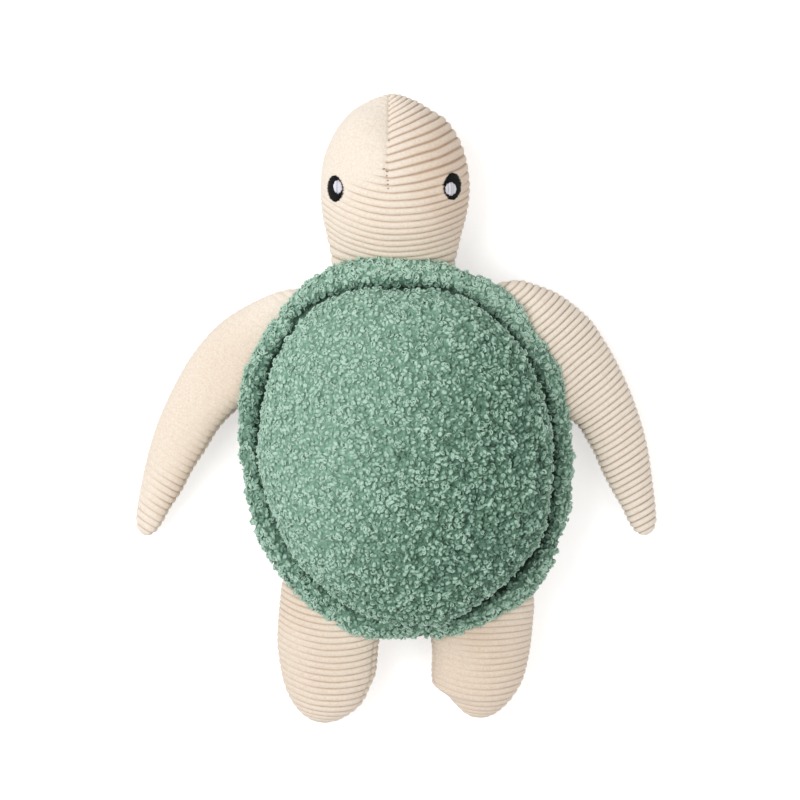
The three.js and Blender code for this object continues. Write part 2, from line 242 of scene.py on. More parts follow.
def makeBoucle(look):
    finish = Finish("green_boucle")
    depth = finish.attribute("pile")
    tint = finish.attribute("tint")
    strand = finish.noise(look["strandSize"], 3, 0.6)
    # the pile level carries painted shade and light; tint and strand vary the tone at random
    level = depth + (tint - 0.5) * look["tintShare"] + (strand - 0.5) * look["strandShare"]
    places = {"deep": 0.0, "middle": 0.5, "tip": 1.0}
    stops = [(place, fromScreen(*look[name])) for name, place in places.items()]
    cloth = finish.node("ShaderNodeValToRGB", {"stops": stops}, {"Fac": level})
    finish.surface(Base_Color=cloth, Roughness=0.9, Normal=finish.bump(strand, 0.7, look["fuzz"]))
    finish.surface(Sheen_Weight=0.3, Sheen_Roughness=0.5, Specular_IOR_Level=0.25)
    return finish.material


threadFinish = {
    "black_thread": {"dark": (2, 2, 4), "light": (16, 15, 19), "gloss": 0.5, "shine": 0.18},
    "pale_thread": {"dark": (186, 183, 194), "light": (238, 235, 242), "gloss": 0.5, "shine": 0.4},
    "dart_thread": {"dark": (136, 118, 104), "light": (186, 165, 148), "gloss": 0.8, "shine": 0.2},
}


def makeThread(name, look):
    finish = Finish(name)
    twist = finish.noise(0.35, 2, 0.6)
    tint = finish.attribute("tint")
    share = finish.remap(twist * 0.6 + tint * 0.5, 0.3, 0.8)
    colour = finish.mix(share, fromScreen(*look["dark"]), fromScreen(*look["light"]))
    rough = finish.remap(twist, 0.3, 0.7, look["gloss"], look["gloss"] + 0.2)
    finish.surface(Base_Color=colour, Roughness=rough, Normal=finish.bump(twist, 0.4, 0.08))
    finish.surface(Specular_IOR_Level=look["shine"])
    return finish.material


waddingFinish = {"light": (240, 240, 236), "shade": (206, 206, 202), "fibre": 1.2, "lump": 9}


def makeWadding(look):
    finish = Finish("wadding")
    fibre = finish.noise(look["fibre"], 4, 0.7)
    lump = finish.noise(look["lump"], 2)
    share = finish.remap(fibre * 0.6 + lump * 0.4, 0.35, 0.65)
    colour = finish.mix(share, fromScreen(*look["shade"]), fromScreen(*look["light"]))
    finish.surface(Base_Color=colour, Roughness=1.0, Normal=finish.bump(fibre, 0.8, 0.6))
    finish.surface(Sheen_Weight=0.3)
    return finish.material


plasticFinish = {
    "squeaker_plastic": {"light": (226, 226, 214), "shade": (206, 206, 192), "gloss": 0.38},
    "reed_plastic": {"light": (46, 46, 50), "shade": (26, 26, 28), "gloss": 0.32},
}


def makePlastic(name, look):
    finish = Finish(name)
    cloud = finish.noise(7, 2)
    grain = finish.noise(0.35, 2)
    share = finish.remap(cloud, 0.3, 0.7)
    colour = finish.mix(share, fromScreen(*look["shade"]), fromScreen(*look["light"]))
    rough = finish.remap(cloud, 0.3, 0.7, look["gloss"], look["gloss"] + 0.14)
    finish.surface(Base_Color=colour, Roughness=rough, Normal=finish.bump(grain, 0.15, 0.05))
    return finish.material


materials = {"cream_corduroy": makeCorduroy(corduroyFinish), "green_boucle": makeBoucle(boucleFinish)}
materials["wadding"] = makeWadding(waddingFinish)
for threadName, threadLook in threadFinish.items():
    materials[threadName] = makeThread(threadName, threadLook)
for plasticName, plasticLook in plasticFinish.items():
    materials[plasticName] = makePlastic(plasticName, plasticLook)
print("materials made")


# Tables and meshes

def smoothTable(places, rows, at):  # a smooth closed curve through rows, the last of them the first again
    places, rows, at = np.asarray(places, float), np.asarray(rows, float), np.asarray(at, float)
    if rows.ndim == 1:
        rows = rows[:, None]
    span = places[-1] - places[0]
    at = places[0] + (at - places[0]) % span
    places = np.concatenate([[places[-2] - span], places, [places[1] + span]])
    rows = np.concatenate([rows[-2:-1], rows, rows[1:2]])
    steps = np.diff(places)
    slopes = np.diff(rows, axis=0) / steps[:, None]
    share = steps[1:] / (steps[:-1] + steps[1:])
    middle = slopes[:-1] * share[:, None] + slopes[1:] * (1 - share)[:, None]
    tangents = np.concatenate([slopes[:1], middle, slopes[-1:]])
    k = np.clip(np.searchsorted(places, at, side="right") - 1, 0, len(steps) - 1)
    h = steps[k][:, None]
    t = np.clip((at - places[k]) / steps[k], 0, 1)[:, None]
    value = (2 * t ** 3 - 3 * t ** 2 + 1) * rows[k] + (t ** 3 - 2 * t ** 2 + t) * h * tangents[k]
    return value + (3 * t ** 2 - 2 * t ** 3) * rows[k + 1] + (t ** 3 - t ** 2) * h * tangents[k + 1]


def newPiece(name, points, faces, finish, layers=None):
    mesh = bpy.data.meshes.new(name)
    mesh.from_pydata((np.asarray(points, float) * mm).tolist(), [], faces)
    mesh.polygons.foreach_set("use_smooth", np.ones(len(mesh.polygons), bool))
    for layer, values in (layers or {}).items():
        made = mesh.attributes.new(layer, "FLOAT", "POINT")
        made.data.foreach_set("value", np.asarray(values, np.float32))
    mesh.materials.append(materials[finish])
    mesh.validate()
    piece = bpy.data.objects.new(name, mesh)
    bpy.context.scene.collection.objects.link(piece)
    return piece


def gridFaces(rows, columns, closedRows=False, poles=False):  # columns always run round
    i = np.arange(rows if closedRows else rows - 1)[:, None]
    j = np.arange(columns)[None, :]
    a, b = i * columns, ((i + 1) % rows) * columns
    n = (j + 1) % columns
    faces = np.stack([a + j, a + n, b + n, b + j], -1).reshape(-1, 4).tolist()
    if poles:                                        # the two points after the grid
        first, last, end = rows * columns, rows * columns + 1, (rows - 1) * columns
        faces += [[first, (k + 1) % columns, k] for k in range(columns)]
        faces += [[last, end + k, end + (k + 1) % columns] for k in range(columns)]
    return faces


def gridNormals(grid, closedRows=False):  # of a grid whose columns run round, pointing out
    if closedRows:
        along = np.roll(grid, -1, 0) - np.roll(grid, 1, 0)
    else:
        along = np.gradient(grid, axis=0)
    around = np.roll(grid, -1, 1) - np.roll(grid, 1, 1)
    normal = np.cross(around, along)
    return normal / np.maximum(np.linalg.norm(normal, axis=2, keepdims=True), 1e-9)


def smoothStep(value, low, high):
    t = np.clip((value - low) / (high - low), 0, 1)
    return t * t * (3 - 2 * t)


def waleShape(phase):  # 0 in the groove, 1 on the ridge
    across = np.abs(2 * (phase - np.floor(phase)) - 1)
    return (1 - np.minimum(across, 1) ** 2.1) ** 0.75


def ripples(points, size, seed):  # a slow unevenness, about -1 to 1
    scaled = np.asarray(points) / size + seed * 17.3
    return np.array([noise.noise(Vector(p)) for p in scaled.reshape(-1, 3)]).reshape(scaled.shape[:-1])


def uneven(points, look, seed):  # from a size and a height
    return look[1] * ripples(points, look[0], seed)


def takeShape(made):  # keeps the points and faces of a modelled object, which goes
    points = np.array([v.co for v in made.data.vertices])
    faces = [list(p.vertices) for p in made.data.polygons]
    bpy.data.objects.remove(made)
    return points, sorted(faces)     # their order varies between runs


# Stuffed head and limbs.
# An outline is the seam round the piece, seen from above. Rings run along the wales, from edge to edge.
# Wales follow y = start + slope * |x - middle| + bend * (x - middle)^2 / 2, and the tables go by start.
# A wale row is: start, middle, slope, bend left of the middle, bend right of it.
# With signed, the slope keeps the sign of x - middle.
# seamRise says how high the edge seam lies, by the distance from the hinge line.
# Patches are x, y, reach, share. Brushed: the pile lies over its grooves. Painted shade: darker, warmer
# cloth.
# Deep: the grooves are deeper, and their painted shade darker. Pressed: stitches flatten them.

corduroyCloth = {
    "ridgeHeight": 1.05,
    "samplesPerWale": 10,
    "seamDepth": 0.8,
    "seamWidth": 1.1,
    "wander": (12, 0.08),        # size and height, in wales, of the wander of the wales
    "unevenness": (26, 0.5),     # size and height of the stuffing's lumps
    "nap": (1.5, 0.13),          # size and height of the small unevenness of the pile
    "datum": 0.6,                # the part of a wale's height that lies on the form
    "flattened": 0.95,           # how far brushing hides a groove
    "endRings": 6,               # over which the relief fades to each end
    "squareness": 2.12,          # of a cross-section, 2 is an ellipse
}

headShape = {
    "outline": [
        (-31, 66), (-33, 79.5), (-34.8, 90), (-35.6, 95.5), (-36.4, 100.5), (-37.5, 105.4),
        (-38.6, 110.3), (-39.6, 115.2), (-40.3, 120.2), (-40.6, 127), (-40.5, 134), (-40.1, 140),
        (-39.2, 145), (-37.7, 149.8), (-35.6, 154.6), (-33, 159.3), (-29.4, 164), (-24.4, 168.8),
        (-17.4, 173.0), (-12.5, 175.5), (-8, 177), (4.4, 173.6), (13.4, 168.2), (19.6, 164.3),
        (23.6, 159.4), (26.6, 154.5), (28.6, 149.6), (29.9, 144.7), (30.8, 139.8), (31.3, 134),
        (31.2, 127), (30.4, 120.2), (29.4, 115.2), (28.2, 110.3), (27, 105.4), (26, 100.5), (24.8, 95.5),
        (24, 90), (22.5, 79.5), (21, 66)],
    "thickness": [
        (60, 5, 3), (79, 7, 4), (87, 10.5, 8), (95, 15.5, 13), (104, 23.5, 18.5), (114, 30.8, 22.5),
        (124, 34.8, 24.2), (134, 36.2, 24.5), (150, 35.5, 24.5), (180, 33, 23)],
    "wales": [
        (60, -4.8, 0, 0.0, 0.0), (86, -4.8, 0, 0.004, 0.003), (98, -4.8, 0, 0.0165, 0.0104),
        (128, -4.8, 0, 0.0165, 0.0104), (138, -6.4, 0.1, 0.009, 0.007), (149, -8.2, 0.28, 0.002, 0.002),
        (156, -8.2, 0.42, -0.004, -0.004), (169, -8.2, 0.58, -0.01, -0.01),
        (190, -8.2, 0.62, -0.01, -0.01)],
    "seamRise": [(-20, 23), (8, 23.5), (25, 24.3), (60, 24.8), (90, 27)],
    "brushed": [
        (-26, 166, 20, 1.0), (-12, 166, 12, 1.0), (-12, 153, 9, 0.95), (-28, 151, 13, 0.95),
        (-38, 138, 10, 0.8), (-18, 141, 8, 0.4), (-30, 120, 14, 0.3)],
    # patches of painted shade
    "warm": [
        (26, 156, 26, 0.9), (26, 132, 22, 0.8), (22, 108, 22, 0.45), (-30, 145, 34, 0.2),
        (-16, 104, 26, 0.4)],
    "deep": [(16, 156, 24, 0.5), (24, 138, 16, 0.3)],
    "pressed": [(-34.0, 132.8, 6.5, 0.8), (23.4, 134.2, 6.5, 0.8)],
    "first": 79.0, "fullness": 1.02, "signed": False, "hingeAt": (0, 87.45), "outward": (0, 1),
    "relief": 1.0, "pitch": 3.65, "arched": True, "sides": 176, "innerSeam": 0.0, "innerIsRight": False,
    "fill": 0.85,
}
flipperCommon = {
    "seamRise": [(-10, 22), (0, 22), (10, 19.8), (20, 16.6), (30, 14), (45, 13.2)],
    "fullness": 0.95, "signed": True, "arched": False, "sides": 96, "fill": 0.75,
}
leftFlipper = {
    **flipperCommon,
    "outline": [
        (-44.5, 78), (-52, 80.4), (-61, 78.9), (-72, 74.3), (-81.5, 68.8), (-90, 62.9), (-98.5, 54.9),
        (-106, 45.2), (-112, 34.8), (-117.5, 24), (-121.8, 13.9), (-125.2, 3.9), (-128.3, -6.2),
        (-130.8, -16.4), (-132.6, -27), (-133.8, -36.6), (-133, -42), (-129.8, -45.2), (-126.2, -44.4),
        (-122.4, -40.6), (-117.2, -31.6), (-111.2, -21.8), (-105.2, -10.4), (-98.2, 0.6), (-92.6, 9.8),
        (-86, 17.6), (-79.5, 22.8), (-73, 25), (-69.5, 29.5), (-63, 43.5), (-56.5, 58), (-49.5, 71)],
    "thickness": [(-90, 7, 7.4), (-40, 10.5, 10.5), (-10, 13, 12), (30, 14.2, 13), (110, 14.4, 11)],
    "wales": [(-160, -100, -0.6, 0, 0), (160, -100, -0.55, 0, 0)],
    "droop": [(-60, 5.8), (-30, 4), (20, 0), (120, 0)],
    "brushed": [
        (-95, 52, 26, 0.75), (-72, 66, 26, 0.7), (-112, 22, 20, 0.7), (-122, 0, 14, 0.65),
        (-90, 28, 16, 0.3), (-131, -20, 9, 0.5)],
    # patches of painted shade
    "warm": [
        (-92, 5, 62, 0.5), (-78, 44, 24, 0.5), (-78, 24, 10, 0.6), (-90, 12, 10, 0.6),
        (-100, -4, 10, 0.6), (-108, -18, 9, 0.6), (-116, -31, 8, 0.5)],
    "deep": [(-112, -24, 10, 0.3)],
    "hingeAt": (-65.81, 46.39), "outward": (-0.9053, 0.42478), "relief": 0.85, "pitch": 3.65,
    "innerSeam": 0.35, "innerIsRight": True,
}
rightFlipper = {
    **flipperCommon,
    "outline": [
        (39, 78.5), (47.5, 83.6), (56, 84.8), (66, 81.5), (76, 76.6), (84, 70.6), (92, 63.4),
        (98.4, 54.3), (104.2, 44.2), (108.8, 34.2), (113.2, 24), (117.2, 12.6), (120.2, 0),
        (122.4, -11.5), (124.1, -22), (125.2, -32), (125.3, -39), (123.3, -43.4), (119.6, -45),
        (116, -43.6), (113, -39.8), (108.7, -31.2), (103, -21), (98.2, -11.1), (93.9, -1.3), (89.7, 6.2),
        (84.6, 13.4), (77, 17), (71.5, 19.5), (68.5, 25.5), (63.5, 39.5), (57.5, 55.5), (52, 69.5)],
    "thickness": [(-70, 7, 7.4), (-20, 10.5, 10.5), (10, 13, 12), (50, 14.2, 13), (130, 14.4, 11)],
    "wales": [
        (-60, 100, 0.44, 0, 0), (-38, 100, 0.49, 0, 0), (-14, 100, 0.56, 0, 0), (10, 100, 0.635, 0, 0),
        (30, 100, 0.725, 0, 0), (60, 100, 0.775, 0, 0), (100, 100, 0.807, 0, 0), (200, 100, 0.807, 0, 0)],
    "droop": [(-60, 5.8), (-30, 4), (20, 0), (130, 0)],
    "hingeAt": (67.18, 43.54), "outward": (0.93735, 0.34839), "relief": 1.1, "pitch": 3.2,
    "innerSeam": 0.3, "innerIsRight": False,
}
footCommon = {
    "seamRise": [(-10, 22), (0, 22), (12, 20), (30, 17.2), (50, 15), (62, 13)],
    "fullness": 0.86, "signed": False, "arched": True, "sides": 128, "fill": 0.85,
}
leftFoot = {
    **footCommon,
    "outline": [
        (-57.5, -60), (-60.4, -65), (-62.2, -76), (-63.1, -88), (-63.5, -98), (-62.6, -108),
        (-60.7, -118), (-57.5, -127), (-53.3, -133.6), (-48, -138.2), (-41, -140.4), (-34.3, -139.1),
        (-27.1, -134.7), (-21, -128.4), (-17.8, -121.4), (-14.9, -114), (-14, -106), (-13.2, -98),
        (-11.5, -90), (-10.8, -86), (-22, -80), (-34, -74), (-46, -66.5)],
    "thickness": [(-160, 14, 13.5), (-120, 16.6, 15), (-100, 17.4, 15.6), (-60, 16, 13)],
    "wales": [(-180, -33.5, 0, 0.015, 0.013), (-40, -35.5, 0, 0.016, 0.015)],
    "brushed": [(-56, -100, 12, 0.4), (-60, -120, 12, 0.4)],
    # patches of painted shade
    "warm": [(-52, -108, 40, 0.6), (-52, -74, 14, 0.5)],
    "hingeAt": (-33.07, -80.51), "outward": (-0.4358, -0.90005), "relief": 0.95, "pitch": 3.4,
    "innerSeam": 0.42, "innerIsRight": True,
}
rightFoot = {
    **footCommon,
    "outline": [
        (57, -60), (62.2, -65), (64.6, -76), (64, -88), (63, -98), (61.4, -108), (58.7, -118),
        (54.3, -126), (49, -132.2), (43.5, -136.3), (37.5, -137.8), (31.3, -135.8), (25, -129.8),
        (19.4, -123.4), (14.8, -120.2), (13.8, -112), (14.2, -105), (13.8, -98), (12, -90), (10.8, -86),
        (22, -80), (34, -74), (46, -66.5)],
    "thickness": [(-160, 13.5, 13.5), (-120, 16.4, 15), (-100, 17.4, 15.6), (-60, 16, 13)],
    "wales": [
        (-180, 42, 0, 0.017, 0.013), (-122, 42, 0, 0.016, 0.012), (-100, 42, 0, 0.01, 0.004),
        (-84, 42, 0, 0.006, -0.004), (-40, 42, 0, 0.004, -0.006)],
    "brushed": [(20, -104, 13, 0.6), (30, -114, 14, 0.3)],
    # patches of painted shade
    "warm": [(30, -108, 44, 0.8), (34, -84, 16, 0.6)],
    "hingeAt": (33.07, -80.51), "outward": (0.4358, -0.90005), "relief": 0.85, "pitch": 3.35,
    "innerSeam": 0.2, "innerIsRight": False,
}
stuffed = {"head": headShape, "left_flipper": leftFlipper, "right_flipper": rightFlipper,
           "left_foot": leftFoot, "right_foot": rightFoot}
dartSeam = {                     # a stitch is x, y, length, heading
    "path": [(121, -8.4), (147, -8.9), (158, -7.9), (177, -7.6)],      # y, x
    "from": 129, "full": 140, "width": 0.6, "depth": 0.7,
    "stitches": [(-10.2, 143.6, 1.2, 0.5), (-8.5, 142.3, 1.2, 0.1), (-8.7, 140.4, 0.9, 0.9),
                 (-8.2, 138.1, 1.0, 0.3), (-8.2, 136.3, 1.0, 0.2), (-8.0, 134.4, 0.9, 0.2)],
    "stitchLift": 0.15,
    "thread": 0.55,
}


def waleRise(x, start, shape):  # how far a wale lies beyond its start at x
    rows = np.array(shape["wales"], float)
    middle, slope, left, right = (np.interp(start, rows[:, 0], rows[:, k]) for k in range(1, 5))
    across = x - middle
    lean = across if shape["signed"] else np.abs(across)
    return slope * lean + np.where(across < 0, left, right) * across ** 2 / 2


def waleStart(x, y, shape):
    start = np.array(y, float)
    for _ in range(40):
        start = start + 0.6 * (y - waleRise(x, start, shape) - start)
    return start


def topHeight(shape, start):  # of the middle of a ring, roughly
    rows = np.array(shape["thickness"], float)
    outline = np.array(shape["outline"], float)
    tip = outline[:, 1].max() if shape["outward"][1] > 0 else outline[:, 1].min()
    room = np.maximum(np.abs(tip - start), 0.01) * 1.9
    thick = np.interp(start, rows[:, 0], rows[:, 1])
    return (thick ** -3.0 + room ** -3.0) ** (-1 / 3)


def evenWales(shape, low, high, perWale):  # starts of the rings, and how many wales lie before each
    start = np.linspace(low, high, 4000)
    rows = np.array(shape["wales"], float)
    step = np.ones_like(start)
    if shape["signed"]:
        step = np.cos(np.arctan(np.interp(start, rows[:, 0], rows[:, 2])))
    if shape["arched"]:
        climb = np.abs(0.8 * np.gradient(topHeight(shape, start), start))
        step = step * np.sqrt(1 + np.minimum(climb, 1.6) ** 2)
    count = np.concatenate([[0], np.cumsum((step[1:] + step[:-1]) / 2 * np.diff(start))]) / shape["pitch"]
    wanted = np.arange(1, int(count[-1] * perWale) + 1) / perWale
    wanted = wanted[wanted < count[-1] - 0.3 / perWale]
    return np.interp(wanted, count, start), wanted


def ringEnds(outline, starts, start):  # where a ring meets the outline, left end then right
    side = starts - start
    crossing = np.nonzero(np.sign(side) != np.sign(np.roll(side, -1)))[0]
    after = (crossing + 1) % len(starts)
    share = side[crossing] / (side[crossing] - side[after])
    points = outline[crossing] + (outline[after] - outline[crossing]) * share[:, None]
    return points[np.argmin(points[:, 0])], points[np.argmax(points[:, 0])]


def stuffedGrid(shape, perWale, sides, drawnIn=0.0):
    corners = np.array(shape["outline"] + shape["outline"][:1], float)
    places = np.concatenate([[0], np.cumsum(np.linalg.norm(np.diff(corners, axis=0), axis=1))])
    outline = smoothTable(places, corners, np.linspace(0, places[-1], 1600)[:-1])
    starts = waleStart(outline[:, 0], outline[:, 1], shape)
    low, high = shape.get("first", starts.min()), starts.max()
    rings, count = evenWales(shape, low + drawnIn, high - drawnIn, perWale)
    turn = 2 * math.pi * np.arange(sides) / sides
    power = 2 / corduroyCloth["squareness"]
    across = np.sign(np.cos(turn)) * np.abs(np.cos(turn)) ** power
    up = np.sign(np.sin(turn)) * np.abs(np.sin(turn)) ** power
    rows = np.array(shape["thickness"], float)
    heights = np.array(shape["seamRise"], float)
    drop = np.array(shape.get("droop", [(-999, 0), (999, 0)]), float)
    (hingeX, hingeY), (outX, outY) = shape["hingeAt"], shape["outward"]
    grid = np.empty((len(rings), sides, 3))
    for i, start in enumerate(rings):
        left, right = ringEnds(outline, starts, start)
        middle, half = (left[0] + right[0]) / 2, max((right[0] - left[0]) / 2 - drawnIn, 0.05)
        x = middle + half * across
        y = start + waleRise(x, np.full(sides, start), shape)
        room = shape["fullness"] * math.dist(left, right) / 2
        thick = [np.interp(start, rows[:, 0], rows[:, k]) for k in (1, 2)]
        thick = [max((t ** -4 + room ** -4) ** -0.25 - drawnIn, 0.05) for t in thick]
        away = (x - hingeX) * outX + (y - hingeY) * outY
        seam = np.interp(away, heights[:, 0], heights[:, 1]) - np.interp(start, drop[:, 0], drop[:, 1])
        grid[i] = np.column_stack([x, y, seam + np.where(up > 0, thick[0], thick[1]) * up])
    ends = [grid[0].mean(0), grid[-1].mean(0)]
    return grid, turn, count, np.array(ends)


underside = {"floor": 0.35, "softness": 0.5}


def settle(z):  # the floor presses a rounded underside flat
    floor, soft = underside["floor"], underside["softness"]
    return floor + np.logaddexp(0, (z - floor) / soft) * soft


def patches(grid, shape, kind):  # 0 to 1
    left = np.ones(grid.shape[:2])
    for x, y, reach, share in shape.get(kind, ()):
        away = ((grid[..., 0] - x) ** 2 + (grid[..., 1] - y) ** 2) / reach ** 2
        left *= 1 - share * np.exp(-away ** 1.5)
    return 1 - left


def dartAt(y):
    rows = np.array(dartSeam["path"], float)
    return np.interp(y, rows[:, 0], rows[:, 1])


def stuffedCover(name, shape):
    cloth = corduroyCloth
    grid, turn, count, poles = stuffedGrid(shape, cloth["samplesPerWale"], shape["sides"])
    normals = gridNormals(grid)
    middle = len(grid) // 2
    if np.dot(normals[middle, shape["sides"] // 4], (0, 0, 1)) < 0:
        normals = -normals
    inner = shape["innerSeam"] if shape["innerIsRight"] else math.pi - shape["innerSeam"]
    outer = math.pi if shape["innerIsRight"] else 0.0
    upper = np.sin(turn) > 0
    gaps = [np.abs((turn - seam + math.pi) % (2 * math.pi) - math.pi) for seam in (inner, outer)]
    girth = np.linalg.norm(np.roll(grid, -1, 1) - grid, axis=2).sum(1) / (2 * math.pi)
    seamGap = np.minimum(*gaps)[None, :] * girth[:, None]
    atSeam = np.exp(-(seamGap / cloth["seamWidth"]) ** 2)
    phase = count[:, None] + uneven(grid, cloth["wander"], 1)
    brushed = patches(grid, shape, "brushed") * smoothStep(np.sin(turn), -0.6, -0.1)[None, :]
    if name == "head":                               # the pile is brushed only left of the dart
        leftSide = smoothStep(dartAt(grid[..., 1]) - grid[..., 0], -0.2, 0.6)
        brushed = brushed * (1 - smoothStep(grid[..., 1], 126, 138) * (1 - leftSide))
    ridge = 1 - (1 - waleShape(phase)) * (1 - cloth["flattened"] * brushed)
    deep = patches(grid, shape, "deep")
    ridge = 1 - (1 - ridge) * (1 - patches(grid, shape, "pressed"))
    push = (ridge - cloth["datum"]) * cloth["ridgeHeight"] * shape["relief"]
    push = push * (1 + 0.25 * deep) * (1 - 0.6 * atSeam)
    push = push - cloth["seamDepth"] * atSeam + uneven(grid, cloth["unevenness"], 2)
    push = push + uneven(grid, cloth["nap"], 3)
    if name == "head":
        offset = np.abs(grid[..., 0] - dartAt(grid[..., 1])) / dartSeam["width"]
        along = smoothStep(grid[..., 1], dartSeam["from"], dartSeam["full"])
        atDart = np.exp(-offset ** 2) * along * upper[None, :]
        push = push - dartSeam["depth"] * atDart
        atSeam = np.maximum(atSeam, atDart * 0.5)
    ring = np.arange(len(grid))
    fade = np.minimum(1, np.minimum(ring, ring[::-1]) / cloth["endRings"])
    grid = grid + normals * (push * fade[:, None])[..., None]
    grid[..., 2] = settle(grid[..., 2])
    points = np.vstack([grid.reshape(-1, 3), poles])
    # the ridge layer sets the painted shade in the grooves, darker in deep patches; seams are darker too
    groove = (1 - (1 - ridge) * shape["relief"] * (1 + deep)) * (1 - 0.5 * atSeam)
    layers = {"ridge": np.append(np.clip(groove, 0, 1).reshape(-1), [0.5, 0.5]),
              # painted shade from its patches
              "warm": np.append(patches(grid, shape, "warm").reshape(-1), [0.5, 0.5])}
    faces = gridFaces(len(grid), len(turn), poles=True)
    piece = newPiece(name + "_cover", points, faces, "cream_corduroy", layers)
    outwards(piece)
    return piece


def outwards(piece):  # turns every face of a closed form to the outside
    bpy.ops.object.select_all(action="DESELECT")
    bpy.context.view_layer.objects.active = piece
    piece.select_set(True)
    bpy.ops.object.mode_set(mode="EDIT")
    bpy.ops.mesh.select_all(action="SELECT")
    bpy.ops.mesh.normals_make_consistent(inside=False)
    bpy.ops.object.mode_set(mode="OBJECT")
    piece.select_set(False)


coverNodes = {
    "head": ("head_top_panel", "head_chin_panel"),
    "left_flipper": ("left_flipper_upper", "left_flipper_lower"),
    "right_flipper": ("right_flipper_upper", "right_flipper_lower"),
    "left_foot": ("left_foot_upper", "left_foot_lower"),
    "right_foot": ("right_foot_upper", "right_foot_lower"),
}


def waddingPiece(name, points, faces, body, node):
    piece = newPiece(name, points, faces, "wadding")
    outwards(piece)
    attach(piece, body)
    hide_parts(node)


stuffing = {
    "gap": 2.4,                  # from the cloth's outside
    "starts": {"head": 21.0, "left_flipper": 16.0},      # from the hinge line, clear of the rim
    "usualStart": 14.5,
    "perWale": 2,
    "sides": 28,
    "lumps": (7, 0.9),
    "coreGap": 3.4,              # in the body
    "coreLumps": (12, 0.8),
    "coreLow": 25.5,
}
hinge = {"reach": (-6, 16), "height": 22}    # a span out from each hinge line, and a height; bendSpan is worked out from them below and not used
coverTrees = {}
for limbName, limbShape in stuffed.items():
    cover = stuffedCover(limbName, limbShape)
    coverTrees[limbName] = BVHTree.FromPolygons([v.co for v in cover.data.vertices],
                                                [p.vertices for p in cover.data.polygons])
    bendSpan = [[(limbShape["hingeAt"][k] + reach * limbShape["outward"][k]) * mm for k in (0, 1)]
                + [hinge["height"] * mm] for reach in hinge["reach"]]
    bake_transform(cover)
    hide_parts(*coverNodes[limbName])
    wad = stuffedGrid(limbShape, stuffing["perWale"], stuffing["sides"], stuffing["gap"])[0]
    outward = np.array([*limbShape["outward"], 0])
    fromHinge = (wad - np.array([*limbShape["hingeAt"], 0])) @ outward
    start = stuffing["starts"].get(limbName, stuffing["usualStart"])
    heart = wad[fromHinge > start].mean(0)
    heartReach = (heart[:2] - limbShape["hingeAt"]) @ outward[:2]
    share = np.clip((start - fromHinge) / (heartReach - fromHinge), 0, 1)
    wad = wad + (heart - wad) * share[..., None]     # the stuffing ends short of the hinge line
    wad = wad + gridNormals(wad) * uneven(wad, stuffing["lumps"], 3)[..., None]
    wad[..., 2] = np.maximum(wad[..., 2], stuffing["gap"])
    wadEnds = np.array([wad[0].mean(0), wad[-1].mean(0)])
    waddingPiece(limbName + "_wadding", np.vstack([wad.reshape(-1, 3), wadEnds]),
                 gridFaces(len(wad), stuffing["sides"], poles=True), limbName, limbName + "_filling")
print("head and limbs made")


# Shell: radii seen from above, every 15 degrees from the right-hand side

shell = {
    "rimOuter": (82.4, 82.8, 87.0, 89.2, 95.4, 96.8, 99.6, 101.0, 98.0, 92.0, 88.9, 84.6,
                 80.9, 80.6, 83.9, 86.2, 89.8, 94.2, 92.1, 94.2, 94.0, 93.8, 88.4, 84.6),
    "domeEdge": (71.5, 72.4, 74.4, 78.3, 81.4, 85.0, 83.0, 86.2, 86.0, 81.2, 76.2, 72.0,
                 70.6, 69.2, 69.5, 72.1, 74.2, 78.3, 81.0, 81.9, 78.4, 77.0, 76.1, 72.5),
    "creaseGap": (2.2, 1.5, 0.6, -0.2, -0.5, 0.4, 0.9, 0.0, 1.0, 1.4, 1.7, 1.6,
                  1.3, 1.0, 0.9, 0.9, 0.8, 0.7, 1.0, 2.6, 4.2, 4.2, 3.6, 2.6),
    "pile": 1.3,                 # how far the tufts stand off the cloth
    "rimHeight": 31.5,
    "rimRound": (3.2, 0.45),     # half height of the rim: this much, and this share of its half width
    "pinches": [(169, 0.34, 2.0), (69, 0.2, 2.0), (21, 0.10, 3.0), (331, 0.12, 3.0)],
    "creaseInset": 3.2,
    "lowest": 25.0,
    "creaseTop": 38.0,
    "creaseFloor": 33.0,
    "widest": 47.5,
    "top": 78.4,
    "crownPower": 0.9,
    "rimSwell": (16, 0.06),
    "rimSteps": 620,
    "rimSides": 44,
    "domeSteps": 520,
    "domeRings": 150,
    "creaseRings": 12,           # from inside the rim up to the crease
    "wallRings": 18,             # from the crease out to the widest place
    "tuftsFrom": 22,             # the first ring that shows tufts
}
# Where the neck and the limbs push the rim up: angle, half width in degrees, lift
rimLifts = [(93, 26, 7.0), (27, 24, 2.5), (152, 24, 2.5), (243, 24, 2.0), (297, 24, 2.0)]
# Where the tufts bridge the crease: angle, half width in degrees, rise of its floor
creaseRises = [(38, 18, 6.0), (68, 9, 4.0), (104, 9, 5.5), (128, 10, 3.5), (205, 30, 1.5), (255, 18, 1.0),
               (304, 22, -4.0)]


def aroundTable(values, angle):
    values = np.append(values, values[0])
    return smoothTable(np.arange(25) * 15.0, values, np.degrees(angle) % 360)[:, 0]


def offAngle(angle, middle):
    return (np.degrees(angle) - middle + 180) % 360 - 180


def bumpsAt(angle, rows):
    return sum(up * np.exp(-(offAngle(angle, place) / width) ** 4) for place, width, up in rows)


